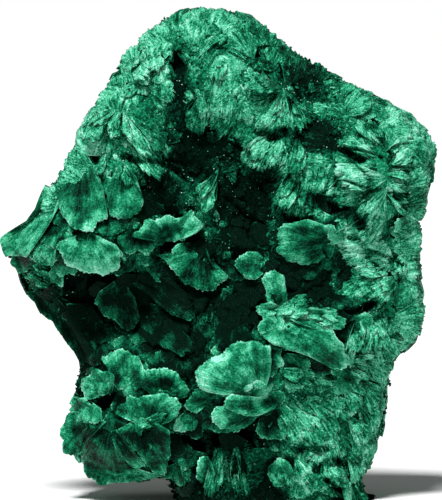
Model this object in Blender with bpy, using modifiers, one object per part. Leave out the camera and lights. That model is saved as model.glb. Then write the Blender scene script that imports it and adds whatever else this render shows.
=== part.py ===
"""Fibrous malachite specimen: one grown mass of overlapping fan-shaped sprays around a dark velvety hollow.

The front faces -Y, up is +Z, and the origin is the middle of the flat base that it rests on.
Places and sizes below are in millimetres, and MM turns them into Blender's metres.
"""

import math

import bmesh
import bpy
import numpy as np

MM = 0.001

# Outline of the whole specimen seen from the front, anticlockwise from its right side.
CENTRE = (0.0, 45.0)
OUTLINE = [
    (36.2, 45.3), (36.1, 50.5), (37.3, 53), (38.3, 56), (39.2, 57.5), (38.5, 60.2), (39.5, 61.3), (38.5, 66),
    (36.8, 67.9), (35, 68.6), (34.2, 70.5), (32.5, 71.7), (29.8, 71.9), (27.4, 73), (27.4, 74.2), (25, 75.2),
    (22.5, 75.8), (21, 76.7), (19.9, 76.8), (19.3, 78.4), (16.4, 79), (14, 81), (11.3, 82.2), (11.4, 83),
    (9.2, 85.3), (7.3, 85.8), (6.5, 87.2), (3.5, 88.9), (1, 90), (0, 89.5), (-0.9, 88.2), (-2, 89.6),
    (-3.5, 89.7), (-4.7, 88.5), (-5.8, 89.2), (-8.2, 88.1), (-11, 87.1), (-13.5, 85.6), (-15.3, 82.5),
    (-17.8, 80.5), (-20, 76.4), (-22, 73), (-25, 70), (-26.3, 67.5), (-26.5, 65), (-28, 62), (-30.3, 57.6),
    (-31.5, 57.3), (-33.5, 52.5), (-35.5, 49.7), (-39, 47.9), (-40, 47), (-39.3, 44.5), (-37, 41),
    (-36.7, 39.8), (-35.9, 37.3), (-33.7, 35.5), (-32.3, 32.7), (-30.5, 32.2), (-29.5, 30.2), (-26.5, 26.5),
    (-24.7, 23.2), (-25.5, 21), (-25.8, 18.8), (-27.5, 17.3), (-29.1, 13.7), (-29.1, 10.5), (-28.5, 8.3),
    (-25.5, 6.2), (-23.2, 2.9), (-20.5, 2.5), (-13.5, 3.3), (-11.3, 3.4), (-7, 1), (0, -0.5), (7.5, 0.5),
    (16.5, 0.2), (20, 1), (23.5, 0.2), (27, 2.2), (27, 4.8), (28.2, 6.7), (29.4, 11), (30.1, 15),
    (30.5, 18.5), (30.8, 23.5), (32.5, 25.8), (36.6, 29.2), (37.4, 32.3), (36.5, 36), (37.5, 38),
    (36.2, 42),
]

# Core: the same outline, smoothed, drawn in and carried below the base, thickened to a rounded block.
CORE_INSET = 1.1
CORE_SMOOTHING = 0.09
FOOT_MIDDLE, FOOT_HALF_WIDTH, FOOT_Z = 8.8, 16.5, -9.0
FRONT_DEPTH = 18.0
BACK_DEPTH = 20.0
BLOCKINESS = 2.5
CORE_SUBDIVISIONS = 4

# Swells (+) and hollows (-) of the core: x, z, half-width, half-height, how far it stands out.
FRONT_RELIEF = [
    (-4, 64, 8, 8, -6.0),
    (1, 51, 10, 10, -8.0),
    (1, 38, 6, 7, -5.0),
    (-17, 34, 13, 8, -8.0),
    (18, 41, 7, 5, -5.0),
    (17, 72, 4, 6, -3.0),
    (3, 8, 6, 5, -4.0),
    (-20, 18, 4, 3, -3.0),
    (-18, 68, 8, 9, 2.5),
    (-24, 46, 9, 5, 3.0),
    (-18, 10, 9, 7, 4.0),
    (3, 22, 6, 6, 5.0),
    (15, 29, 8, 4, 3.0),
    (27, 57, 9, 8, 2.5),
    (8, 76, 7, 6, 2.0),
]
BACK_RELIEF = [
    (-12, 62, 13, 9, 4.0),
    (14, 68, 9, 8, -5.0),
    (6, 45, 12, 7, 3.0),
    (24, 40, 9, 12, -4.0),
    (-24, 38, 9, 8, -5.0),
    (-6, 26, 12, 7, -4.5),
    (15, 16, 12, 9, 3.5),
    (-16, 10, 9, 8, 2.5),
]

# Fans on the front: root x, root z, heading (0 right, 90 up), reach, spread, lift of the rim off the core.
SHOULDER_FANS = [
    (-18.5, 71.5, 215, 8.5, 44, 24), (-19, 71, 240, 9.5, 42, 26), (-18.5, 71, 265, 9, 36, 28),
    (-18, 71, 286, 8, 40, 24), (-17.8, 70.5, 310, 13.5, 24, 28), (-16, 69, 328, 9, 50, 22),
    (-17, 77, 335, 9.5, 42, 26), (-11, 82, 275, 6.5, 52, 24), (-17.5, 78.5, 240, 6.5, 60, 22),
    (-4.5, 79.5, 50, 8, 32, 22), (-0.5, 81, 275, 6.5, 50, 22), (5, 85, 265, 6.5, 60, 22),
]
BROW_FANS = [
    (11, 74, 178, 9, 36, 22), (11.5, 73.5, 212, 9.5, 32, 24), (11.5, 73.5, 240, 9, 38, 24),
    (12, 74, 272, 9, 36, 22), (10, 66.5, 215, 8.5, 48, 26), (13.5, 66, 256, 8.5, 40, 24),
    (14.5, 61, 250, 10, 36, 24), (18, 62, 268, 7.5, 42, 20),
]
RIGHT_FANS = [
    (30, 58, 185, 9.5, 52, 22), (30, 56.5, 212, 9.5, 48, 22), (29.5, 56, 245, 7, 48, 22),
    (28, 62, 165, 7, 50, 20), (29, 64, 138, 6.5, 50, 20), (29.5, 63, 60, 6.5, 56, 20),
    (29, 59, 5, 7, 40, 26), (29, 56.5, 332, 7, 40, 26), (30, 51, 195, 8, 46, 20),
    (34.5, 49, 205, 8.5, 36, 22), (33.5, 45, 200, 8, 52, 20), (32, 41, 205, 9, 46, 22),
    (29.5, 35.5, 50, 6, 62, 22), (30, 35, 325, 6.5, 62, 22),
]
HOLLOW_FANS = [
    (21, 46, 176, 11.3, 52, 24), (7.5, 42.5, 165, 6, 78, 22), (12.5, 39, 180, 6, 74, 24),
    (-1, 60.5, 262, 10, 42, 32), (-3.5, 47, 158, 11.5, 50, 24), (-7, 45.5, 285, 8, 62, 20),
    (-3, 32.5, 150, 12.5, 38, 18), (-8, 29.5, 155, 14, 34, 20),
]
LEFT_FANS = [
    (-24, 61, 262, 12.5, 46, 24), (-18, 61, 285, 9.5, 54, 24), (-20, 60, 268, 10, 36, 18),
    (-30.5, 53.5, 235, 8, 52, 18), (-31, 48, 200, 8, 76, 14), (-22, 48.5, 268, 7.6, 88, 32),
    (-27, 48, 235, 6.8, 70, 26), (-21, 27, 135, 12.5, 46, 14), (-29.5, 37, 150, 8, 44, 16),
]
FOOT_FANS = [
    (-17.5, 21, 92, 6.5, 104, 24), (-11.5, 17.5, 68, 7, 88, 22), (-20, 18.5, 140, 6.5, 88, 22),
    (-22, 13, 188, 7, 88, 18), (-14.5, 14.5, 235, 12.5, 54, 20), (-15, 16.5, 300, 12, 58, 22),
    (-16.5, 14.5, 335, 7.5, 54, 22), (7, 19, 148, 12, 62, 24), (7, 19, 102, 10.6, 58, 20),
    (9, 19.5, 205, 10, 54, 30), (-3.5, 17.5, 215, 6, 72, 24), (1, 12, 268, 9, 48, 20),
    (-9, 10.5, 300, 7, 44, 22), (12, 6.5, 190, 5, 90, 22),
]
LOWER_RIGHT_FANS = [
    (8, 33, 322, 15, 38, 28), (8, 33.5, 342, 14, 36, 28), (13, 34.5, 2, 10, 38, 20),
    (24.5, 34, 262, 9, 48, 26), (26.5, 34, 295, 8.5, 54, 24), (9, 25, 325, 11, 40, 18),
    (20, 24, 335, 9, 44, 20), (9.5, 19.5, 300, 9, 44, 22), (13, 19, 325, 10, 44, 20),
    (14, 12, 300, 6, 56, 22), (17, 14.5, 320, 7.5, 48, 20), (22.5, 16, 312, 8, 48, 20),
    (19, 8, 305, 6.5, 62, 22), (11.5, 8.5, 265, 6, 72, 20),
]
FRONT_FANS = (
    SHOULDER_FANS + BROW_FANS + RIGHT_FANS + HOLLOW_FANS + LEFT_FANS + FOOT_FANS + LOWER_RIGHT_FANS
)

# Smaller fans fill in between those, turned the way that the nearest of them point.
FILL_SPACING, FILL_REACH, FILL_SPREAD, FILL_LIFT = 7.2, 7.5, 62.0, 24.0
FILL_ABOVE = -2.5

# Fans that scallop the outline, all pointing away from the middle, but none on the neck at the lower left.
RIM_COUNT, RIM_FROM, RIM_TO = 50, -58.0, 244.0
NECK_FROM, NECK_TO = 192.0, 223.0
RIM_PLACE, RIM_REACH, RIM_SPREAD, RIM_LIFT = 0.9, 6.5, 70.0, 40.0

# Fans on the sides and back, laid out evenly, all hanging down and outwards.
BACK_COUNT, BACK_REACH, BACK_SPREAD, BACK_LIFT = 190, 9.5, 64.0, 22.0
BACK_FROM, BACK_LOWEST = -0.12, -0.72

# A fan plate.
PLATE_THICKNESS = 3.0
ROOT_SHARE = 0.12
ROOT_DEPTH = 0.6
ARCH = 0.10
DRAPE = 0.75
RAYS = 3
RINGS = 2
SCALLOP = 0.07
GOLDEN_ANGLE = 137.508

# The fused mass is evened out on a grid this fine, then thinned to this share of its triangles.
VOXEL = 0.6
FACETS_KEPT = 0.06

# Moves the finished mass so that the middle of its bounding box is over the origin.
SHIFT = (-0.2, 0.1, 0.0)

GREEN = (0.012, 0.155, 0.070, 1.0)


def clear_scene():
    for obj in list(bpy.data.objects):
        bpy.data.objects.remove(obj)


def new_collection(name):
    made = bpy.data.collections.new(name)
    bpy.context.scene.collection.children.link(made)
    return made


def malachite_green():
    material = bpy.data.materials.new("malachite_green")
    material.use_nodes = True
    shader = material.node_tree.nodes["Principled BSDF"]
    shader.inputs["Base Color"].default_value = GREEN
    shader.inputs["Roughness"].default_value = 0.45
    shader.inputs["Metallic"].default_value = 0.0
    return material


def unit(vectors):
    vectors = np.asarray(vectors, float)
    return vectors / np.maximum(np.linalg.norm(vectors, axis=-1, keepdims=True), 1e-9)


def radius_of(outline, angles):
    """How far this outline is from the centre at these angles, seen from the front."""
    x, z = (np.array(outline) - CENTRE).T
    return np.interp(angles, np.arctan2(z, x), np.hypot(x, z), period=2 * math.pi)


def core_radius(angles):
    """How far the core goes at these angles: a drawn-in outline, but below the base over the foot."""
    turns = np.linspace(-CORE_SMOOTHING, CORE_SMOOTHING, 5)
    radius = np.mean([radius_of(OUTLINE, angles + turn) for turn in turns], axis=0) - CORE_INSET
    downward = np.maximum(-np.sin(angles), 0.2)
    foot_x = CENTRE[0] + np.cos(angles) * CENTRE[1] / downward
    within = 1 / (1 + np.exp((np.abs(foot_x - FOOT_MIDDLE) - FOOT_HALF_WIDTH) / 0.7))
    return radius + within * np.where(np.sin(angles) < -0.5, (CENTRE[1] - FOOT_Z) / downward - radius, 0)


def relief(swells, x, z):
    return sum(
        height * np.exp(-(((x - cx) / wide) ** 2) - ((z - cz) / tall) ** 2)
        for cx, cz, wide, tall, height in swells
    )


def core_points(directions):
    """The points of the core's surface in these directions from its middle."""
    dx, dy, dz = unit(directions).T
    flat = np.maximum(np.hypot(dx, dz), 1e-9)
    stretch = (flat**BLOCKINESS + np.abs(dy) ** BLOCKINESS) ** (-1 / BLOCKINESS)
    radius = core_radius(np.arctan2(dz, dx)) * stretch
    share = dy * stretch
    x = CENTRE[0] + radius * dx
    z = CENTRE[1] + radius * dz
    front = FRONT_DEPTH * share - np.clip(-share / 0.6, 0, 1) * relief(FRONT_RELIEF, x, z)
    back = BACK_DEPTH * share + np.clip(share / 0.6, 0, 1) * relief(BACK_RELIEF, x, z)
    return np.stack([x, np.where(share < 0, front, back), z], axis=-1)


def core_normal(direction):
    side = unit(np.cross(direction, (0.31, 0.17, 0.93)))
    other = np.cross(direction, side)
    around = np.array([direction + 0.05 * side, direction - 0.05 * side,
                       direction + 0.05 * other, direction - 0.05 * other])
    right, left, above, below = core_points(around)
    return unit(np.cross(right - left, above - below))


def direction_in_front_of(x, z):
    """The direction from the core's middle to the front surface at this place in the front view."""
    angle = np.arctan2(z - CENTRE[1], x - CENTRE[0])
    share = min(0.985, float(np.hypot(x - CENTRE[0], z - CENTRE[1]) / core_radius(angle)))
    depth = (1 - share**BLOCKINESS) ** (1 / BLOCKINESS)
    return unit((share * np.cos(angle), -depth, share * np.sin(angle)))


def dropped_on_core(points):
    """These points moved in or out along rays from the core's middle until they lie on its surface."""
    x, z = points[:, 0] - CENTRE[0], points[:, 2] - CENTRE[1]
    radius = core_radius(np.arctan2(z, x))
    depth = np.where(points[:, 1] < 0, FRONT_DEPTH, BACK_DEPTH)
    return core_points(np.stack([x / radius, points[:, 1] / depth, z / radius], axis=-1))


def kept_in_outline(points):
    """These points drawn in, in the front view, to the specimen's outline where they are outside it."""
    x, z = points[:, 0] - CENTRE[0], points[:, 2] - CENTRE[1]
    share = np.minimum(1, radius_of(OUTLINE, np.arctan2(z, x)) / np.maximum(np.hypot(x, z), 1e-9))
    return np.stack([CENTRE[0] + x * share, points[:, 1], CENTRE[1] + z * share], axis=-1)


def core():
    """The mass that the fans grow from."""
    bm = bmesh.new()
    bmesh.ops.create_icosphere(bm, subdivisions=CORE_SUBDIVISIONS, radius=1)
    points = core_points([vert.co for vert in bm.verts]) * MM
    for vert, point in zip(bm.verts, points):
        vert.co = point
    mesh = bpy.data.meshes.new("malachite_core")
    bm.to_mesh(mesh)
    bm.free()
    return mesh


def heading_vector(degrees):
    return np.array([math.cos(math.radians(degrees)), 0, math.sin(math.radians(degrees))])


def fan_points(share, turn, direction, toward, reach, lift):
    """Points of a fan's upper face, at these shares of its reach and turns off its heading.

    It lies between a straight fan that leaves the core at an angle and one draped over the core.
    """
    foot = core_points([direction])[0]
    normal = core_normal(direction)
    flat = unit(toward - normal * np.dot(toward, normal))
    across = np.cross(normal, flat)
    along = (reach * share * np.cos(turn))[:, None]
    aside = (reach * share * np.sin(turn))[:, None]
    rise = reach * share * (math.sin(math.radians(lift)) - ARCH * share - 2 * ARCH * turn**2) - ROOT_DEPTH
    level = foot + flat * along + across * aside
    raised = normal * rise[:, None]
    return kept_in_outline((1 - DRAPE) * level + DRAPE * dropped_on_core(level) + raised)


def fan_plate(name, fan, phase):
    """A fan of even thickness, narrow at its root and scalloped along its rim."""
    direction, toward, reach, spread, lift = fan
    bm = bmesh.new()
    bmesh.ops.create_grid(bm, x_segments=RINGS, y_segments=RAYS, size=1)
    place = np.array([vert.co for vert in bm.verts])
    share = ROOT_SHARE + (1 - ROOT_SHARE) * (place[:, 0] + 1) / 2
    share *= 1 + SCALLOP * share * np.sin(place[:, 1] * 5 + phase)
    turn = place[:, 1] * math.radians(spread) / 2
    points = fan_points(share, turn, direction, toward, reach, lift) * MM
    for vert, point in zip(bm.verts, points):
        vert.co = point
    mesh = bpy.data.meshes.new(name)
    bm.to_mesh(mesh)
    bm.free()
    plate = bpy.data.objects.new(name, mesh)
    solidify = plate.modifiers.new("thickness", "SOLIDIFY")
    solidify.thickness = PLATE_THICKNESS * MM
    solidify.offset = -1
    plate.hide_render = True
    plate.display_type = "WIRE"
    return plate


def front_fans():
    for x, z, heading, reach, spread, lift in FRONT_FANS:
        yield direction_in_front_of(x, z), heading_vector(heading), reach, spread, lift


def fill_fans():
    """Fans on a staggered grid over the front, leaving the hollows bare."""
    hand = np.array(FRONT_FANS)
    hand_headings = np.array([heading_vector(heading) for heading in hand[:, 2]])
    hand_middles = hand[:, :2] + hand_headings[:, [0, 2]] * hand[:, 3:4] * 0.5
    rows = int(90 / FILL_SPACING) + 1
    for row in range(rows):
        for column in range(-6, 7):
            x = (column + 0.5 * (row % 2)) * FILL_SPACING + 1.2 * math.sin(row * 3 + column * 5)
            z = 3 + row * FILL_SPACING * 0.9 + 1.2 * math.sin(row * 5 + column * 7)
            angle = math.atan2(z - CENTRE[1], x - CENTRE[0])
            inside = math.hypot(x - CENTRE[0], z - CENTRE[1]) < 0.93 * core_radius(angle)
            if not inside or relief(FRONT_RELIEF, x, z) < FILL_ABOVE:
                continue
            near = np.linalg.norm(hand_middles - (x, z), axis=1) + 1
            toward = unit((hand_headings / near[:, None] ** 3).sum(axis=0))
            reach = FILL_REACH * (1 + 0.2 * math.sin(row * 7 + column * 3))
            yield direction_in_front_of(x, z), toward, reach, FILL_SPREAD, FILL_LIFT


def rim_fans():
    for i in range(RIM_COUNT):
        heading = RIM_FROM + (RIM_TO - RIM_FROM) * i / (RIM_COUNT - 1)
        if NECK_FROM < heading < NECK_TO:
            continue
        turn = math.radians(heading)
        radius = float(core_radius(turn)) * RIM_PLACE
        place = (CENTRE[0] + radius * math.cos(turn), CENTRE[1] + radius * math.sin(turn))
        reach = RIM_REACH * (1 + 0.2 * math.sin(i * 2.4))
        yield direction_in_front_of(*place), heading_vector(heading), reach, RIM_SPREAD, RIM_LIFT


def back_fans():
    """Fans spread evenly over the sides and back, on a spiral of directions."""
    for i in range(BACK_COUNT):
        height = 1 - 2 * (i + 0.5) / BACK_COUNT
        turn = math.radians(i * GOLDEN_ANGLE)
        ring = math.sqrt(1 - height**2)
        direction = np.array([ring * math.cos(turn), ring * math.sin(turn), height])
        if direction[1] < BACK_FROM or direction[2] < BACK_LOWEST:
            continue
        toward = np.array([direction[0] + 0.5 * math.sin(5 * height), 0.5, -1 + 1.6 * height])
        reach = BACK_REACH * (1 + 0.25 * math.sin(i * 2.4))
        yield direction, toward, reach, BACK_SPREAD, BACK_LIFT


def base_cutter():
    """A block whose top face is the plane that the specimen stands on."""
    bm = bmesh.new()
    bmesh.ops.create_cube(bm, size=0.2)
    for vert in bm.verts:
        vert.co.z -= 0.1
    mesh = bpy.data.meshes.new("base_cutter")
    bm.to_mesh(mesh)
    bm.free()
    cutter = bpy.data.objects.new("base_cutter", mesh)
    cutter.hide_render = True
    cutter.display_type = "WIRE"
    return cutter


def evaluated_mesh(obj):
    graph = bpy.context.evaluated_depsgraph_get()
    return bpy.data.meshes.new_from_object(obj.evaluated_get(graph))


def keep_outer_skin(mesh):
    """Fans that lean together seal small pockets inside: only the largest shell, the outside, stays."""
    bm = bmesh.new()
    bm.from_mesh(mesh)
    left = set(bm.faces)
    shells = []
    while left:
        shell, queue = [], [left.pop()]
        while queue:
            face = queue.pop()
            shell.append(face)
            beside = {other for edge in face.edges for other in edge.link_faces} & left
            left -= beside
            queue.extend(beside)
        shells.append(shell)
    shells.sort(key=len)
    inner = [face for shell in shells[:-1] for face in shell]
    bmesh.ops.delete(bm, geom=inner, context="FACES")
    bm.to_mesh(mesh)
    bm.free()


def specimen(home, fans, cutter):
    """The core with every fan fused to it, cut off flat at the base."""
    stone = bpy.data.objects.new("malachite", core())
    home.objects.link(stone)
    fuse = stone.modifiers.new("fuse_fans", "BOOLEAN")
    fuse.operation = "UNION"
    fuse.operand_type = "COLLECTION"
    fuse.collection = fans
    fuse.solver = "MANIFOLD"
    even_out = stone.modifiers.new("even_out", "REMESH")
    even_out.mode = "VOXEL"
    even_out.voxel_size = VOXEL * MM
    thin_out = stone.modifiers.new("thin_out_facets", "DECIMATE")
    thin_out.ratio = FACETS_KEPT
    cut = stone.modifiers.new("flat_base", "BOOLEAN")
    cut.operation = "DIFFERENCE"
    cut.object = cutter
    cut.solver = "MANIFOLD"
    mesh = evaluated_mesh(stone)
    stone.modifiers.clear()
    stone.data = mesh
    keep_outer_skin(mesh)
    stone.location = [shift * MM for shift in SHIFT]
    mesh.materials.clear()
    mesh.materials.append(malachite_green())
    return stone


def main():
    clear_scene()
    home = new_collection("malachite_specimen")
    fans = new_collection("fan_plates")
    cutters = new_collection("cutters")
    for i, fan in enumerate([*front_fans(), *fill_fans(), *rim_fans(), *back_fans()]):
        fans.objects.link(fan_plate(f"fan_{i}", fan, i * GOLDEN_ANGLE))
    cutter = base_cutter()
    cutters.objects.link(cutter)
    specimen(home, fans, cutter)


main()
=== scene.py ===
"""Looks of the malachite specimen: silky fan-shaped sprays of fibres around a dark velvety hollow.

Sizes and places are in millimetres, and MM turns them into the frame's metres. The front faces -Y.
"""

import collections
import math

import bmesh
import bpy
import numpy as np
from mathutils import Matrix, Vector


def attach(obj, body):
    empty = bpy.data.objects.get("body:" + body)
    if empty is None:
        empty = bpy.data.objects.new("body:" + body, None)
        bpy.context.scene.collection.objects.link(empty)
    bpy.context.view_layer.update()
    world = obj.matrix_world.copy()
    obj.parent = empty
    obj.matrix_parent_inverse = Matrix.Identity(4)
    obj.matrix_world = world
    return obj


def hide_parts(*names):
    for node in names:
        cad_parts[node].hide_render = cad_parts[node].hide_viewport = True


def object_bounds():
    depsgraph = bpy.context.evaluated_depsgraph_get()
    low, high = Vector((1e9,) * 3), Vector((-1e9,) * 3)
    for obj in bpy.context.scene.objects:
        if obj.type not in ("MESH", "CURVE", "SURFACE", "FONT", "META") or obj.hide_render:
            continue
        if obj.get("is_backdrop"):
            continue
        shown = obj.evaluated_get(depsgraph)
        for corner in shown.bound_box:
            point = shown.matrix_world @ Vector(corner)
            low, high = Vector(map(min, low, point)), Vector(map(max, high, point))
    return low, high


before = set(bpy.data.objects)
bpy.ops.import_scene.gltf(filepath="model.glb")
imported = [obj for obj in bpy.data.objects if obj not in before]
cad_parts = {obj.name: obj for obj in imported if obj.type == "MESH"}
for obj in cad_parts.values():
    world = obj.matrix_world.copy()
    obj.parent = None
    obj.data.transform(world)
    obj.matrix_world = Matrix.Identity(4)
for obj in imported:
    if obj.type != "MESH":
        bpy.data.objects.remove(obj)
cad_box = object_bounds()

MM = 0.001
SEED = 11
GOLDEN_ANGLE = 137.508
TURN = 6.28

# The specimen's form, as in the CAD model: its outline from the front, anticlockwise from the right side.
CENTRE = (0.0, 45.0)
SHIFT = np.array((-0.2, 0.1, 0.0))
OUTLINE = [
    (36.2, 45.3), (36.1, 50.5), (37.3, 53), (38.3, 56), (39.2, 57.5), (38.5, 60.2), (39.5, 61.3),
    (38.5, 66), (36.8, 67.9), (35, 68.6), (34.2, 70.5), (32.5, 71.7), (29.8, 71.9), (27.4, 73),
    (27.4, 74.2), (25, 75.2), (22.5, 75.8), (21, 76.7), (19.9, 76.8), (19.3, 78.4), (16.4, 79), (14, 81),
    (11.3, 82.2), (11.4, 83), (9.2, 85.3), (7.3, 85.8), (6.5, 87.2), (3.5, 88.9), (1, 90), (0, 89.5),
    (-0.9, 88.2), (-2, 89.6), (-3.5, 89.7), (-4.7, 88.5), (-5.8, 89.2), (-8.2, 88.1), (-11, 87.1),
    (-13.5, 85.6), (-15.3, 82.5), (-17.8, 80.5), (-20, 76.4), (-22, 73), (-25, 70), (-26.3, 67.5),
    (-26.5, 65), (-28, 62), (-30.3, 57.6), (-31.5, 57.3), (-33.5, 52.5), (-35.5, 49.7), (-39, 47.9),
    (-40, 47), (-39.3, 44.5), (-37, 41), (-36.7, 39.8), (-35.9, 37.3), (-33.7, 35.5), (-32.3, 32.7),
    (-30.5, 32.2), (-29.5, 30.2), (-26.5, 26.5), (-24.7, 23.2), (-25.5, 21), (-25.8, 18.8), (-27.5, 17.3),
    (-29.1, 13.7), (-29.1, 10.5), (-28.5, 8.3), (-25.5, 6.2), (-23.2, 2.9), (-20.5, 2.5), (-13.5, 3.3),
    (-11.3, 3.4), (-7, 1), (0, -0.5), (7.5, 0.5), (16.5, 0.2), (20, 1), (23.5, 0.2), (27, 2.2), (27, 4.8),
    (28.2, 6.7), (29.4, 11), (30.1, 15), (30.5, 18.5), (30.8, 23.5), (32.5, 25.8), (36.6, 29.2),
    (37.4, 32.3), (36.5, 36), (37.5, 38), (36.2, 42),
]
CORE_INSET = 1.1
CORE_SMOOTHING = 0.09
FOOT_MIDDLE, FOOT_HALF_WIDTH, FOOT_Z = 8.8, 16.5, -9.0
FRONT_DEPTH = 18.0
BACK_DEPTH = 20.0
BLOCKINESS = 2.5
RELIEF_FADE = 0.6
OUTERMOST = 0.985
FRONT_RELIEF = [
    (-4, 64, 8, 8, -6.0), (1, 51, 10, 10, -8.0), (1, 38, 6, 7, -5.0), (-17, 34, 13, 8, -8.0),
    (18, 41, 7, 5, -5.0), (17, 72, 4, 6, -3.0), (3, 8, 6, 5, -4.0), (-20, 18, 4, 3, -3.0),
    (-18, 68, 8, 9, 2.5), (-24, 46, 9, 5, 3.0), (-18, 10, 9, 7, 4.0), (3, 22, 6, 6, 5.0),
    (15, 29, 8, 4, 3.0), (27, 57, 9, 8, 2.5), (8, 76, 7, 6, 2.0),
]
BACK_RELIEF = [
    (-12, 62, 13, 9, 4.0), (14, 68, 9, 8, -5.0), (6, 45, 12, 7, 3.0), (24, 40, 9, 12, -4.0),
    (-24, 38, 9, 8, -5.0), (-6, 26, 12, 7, -4.5), (15, 16, 12, 9, 3.5), (-16, 10, 9, 8, 2.5),
]

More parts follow.
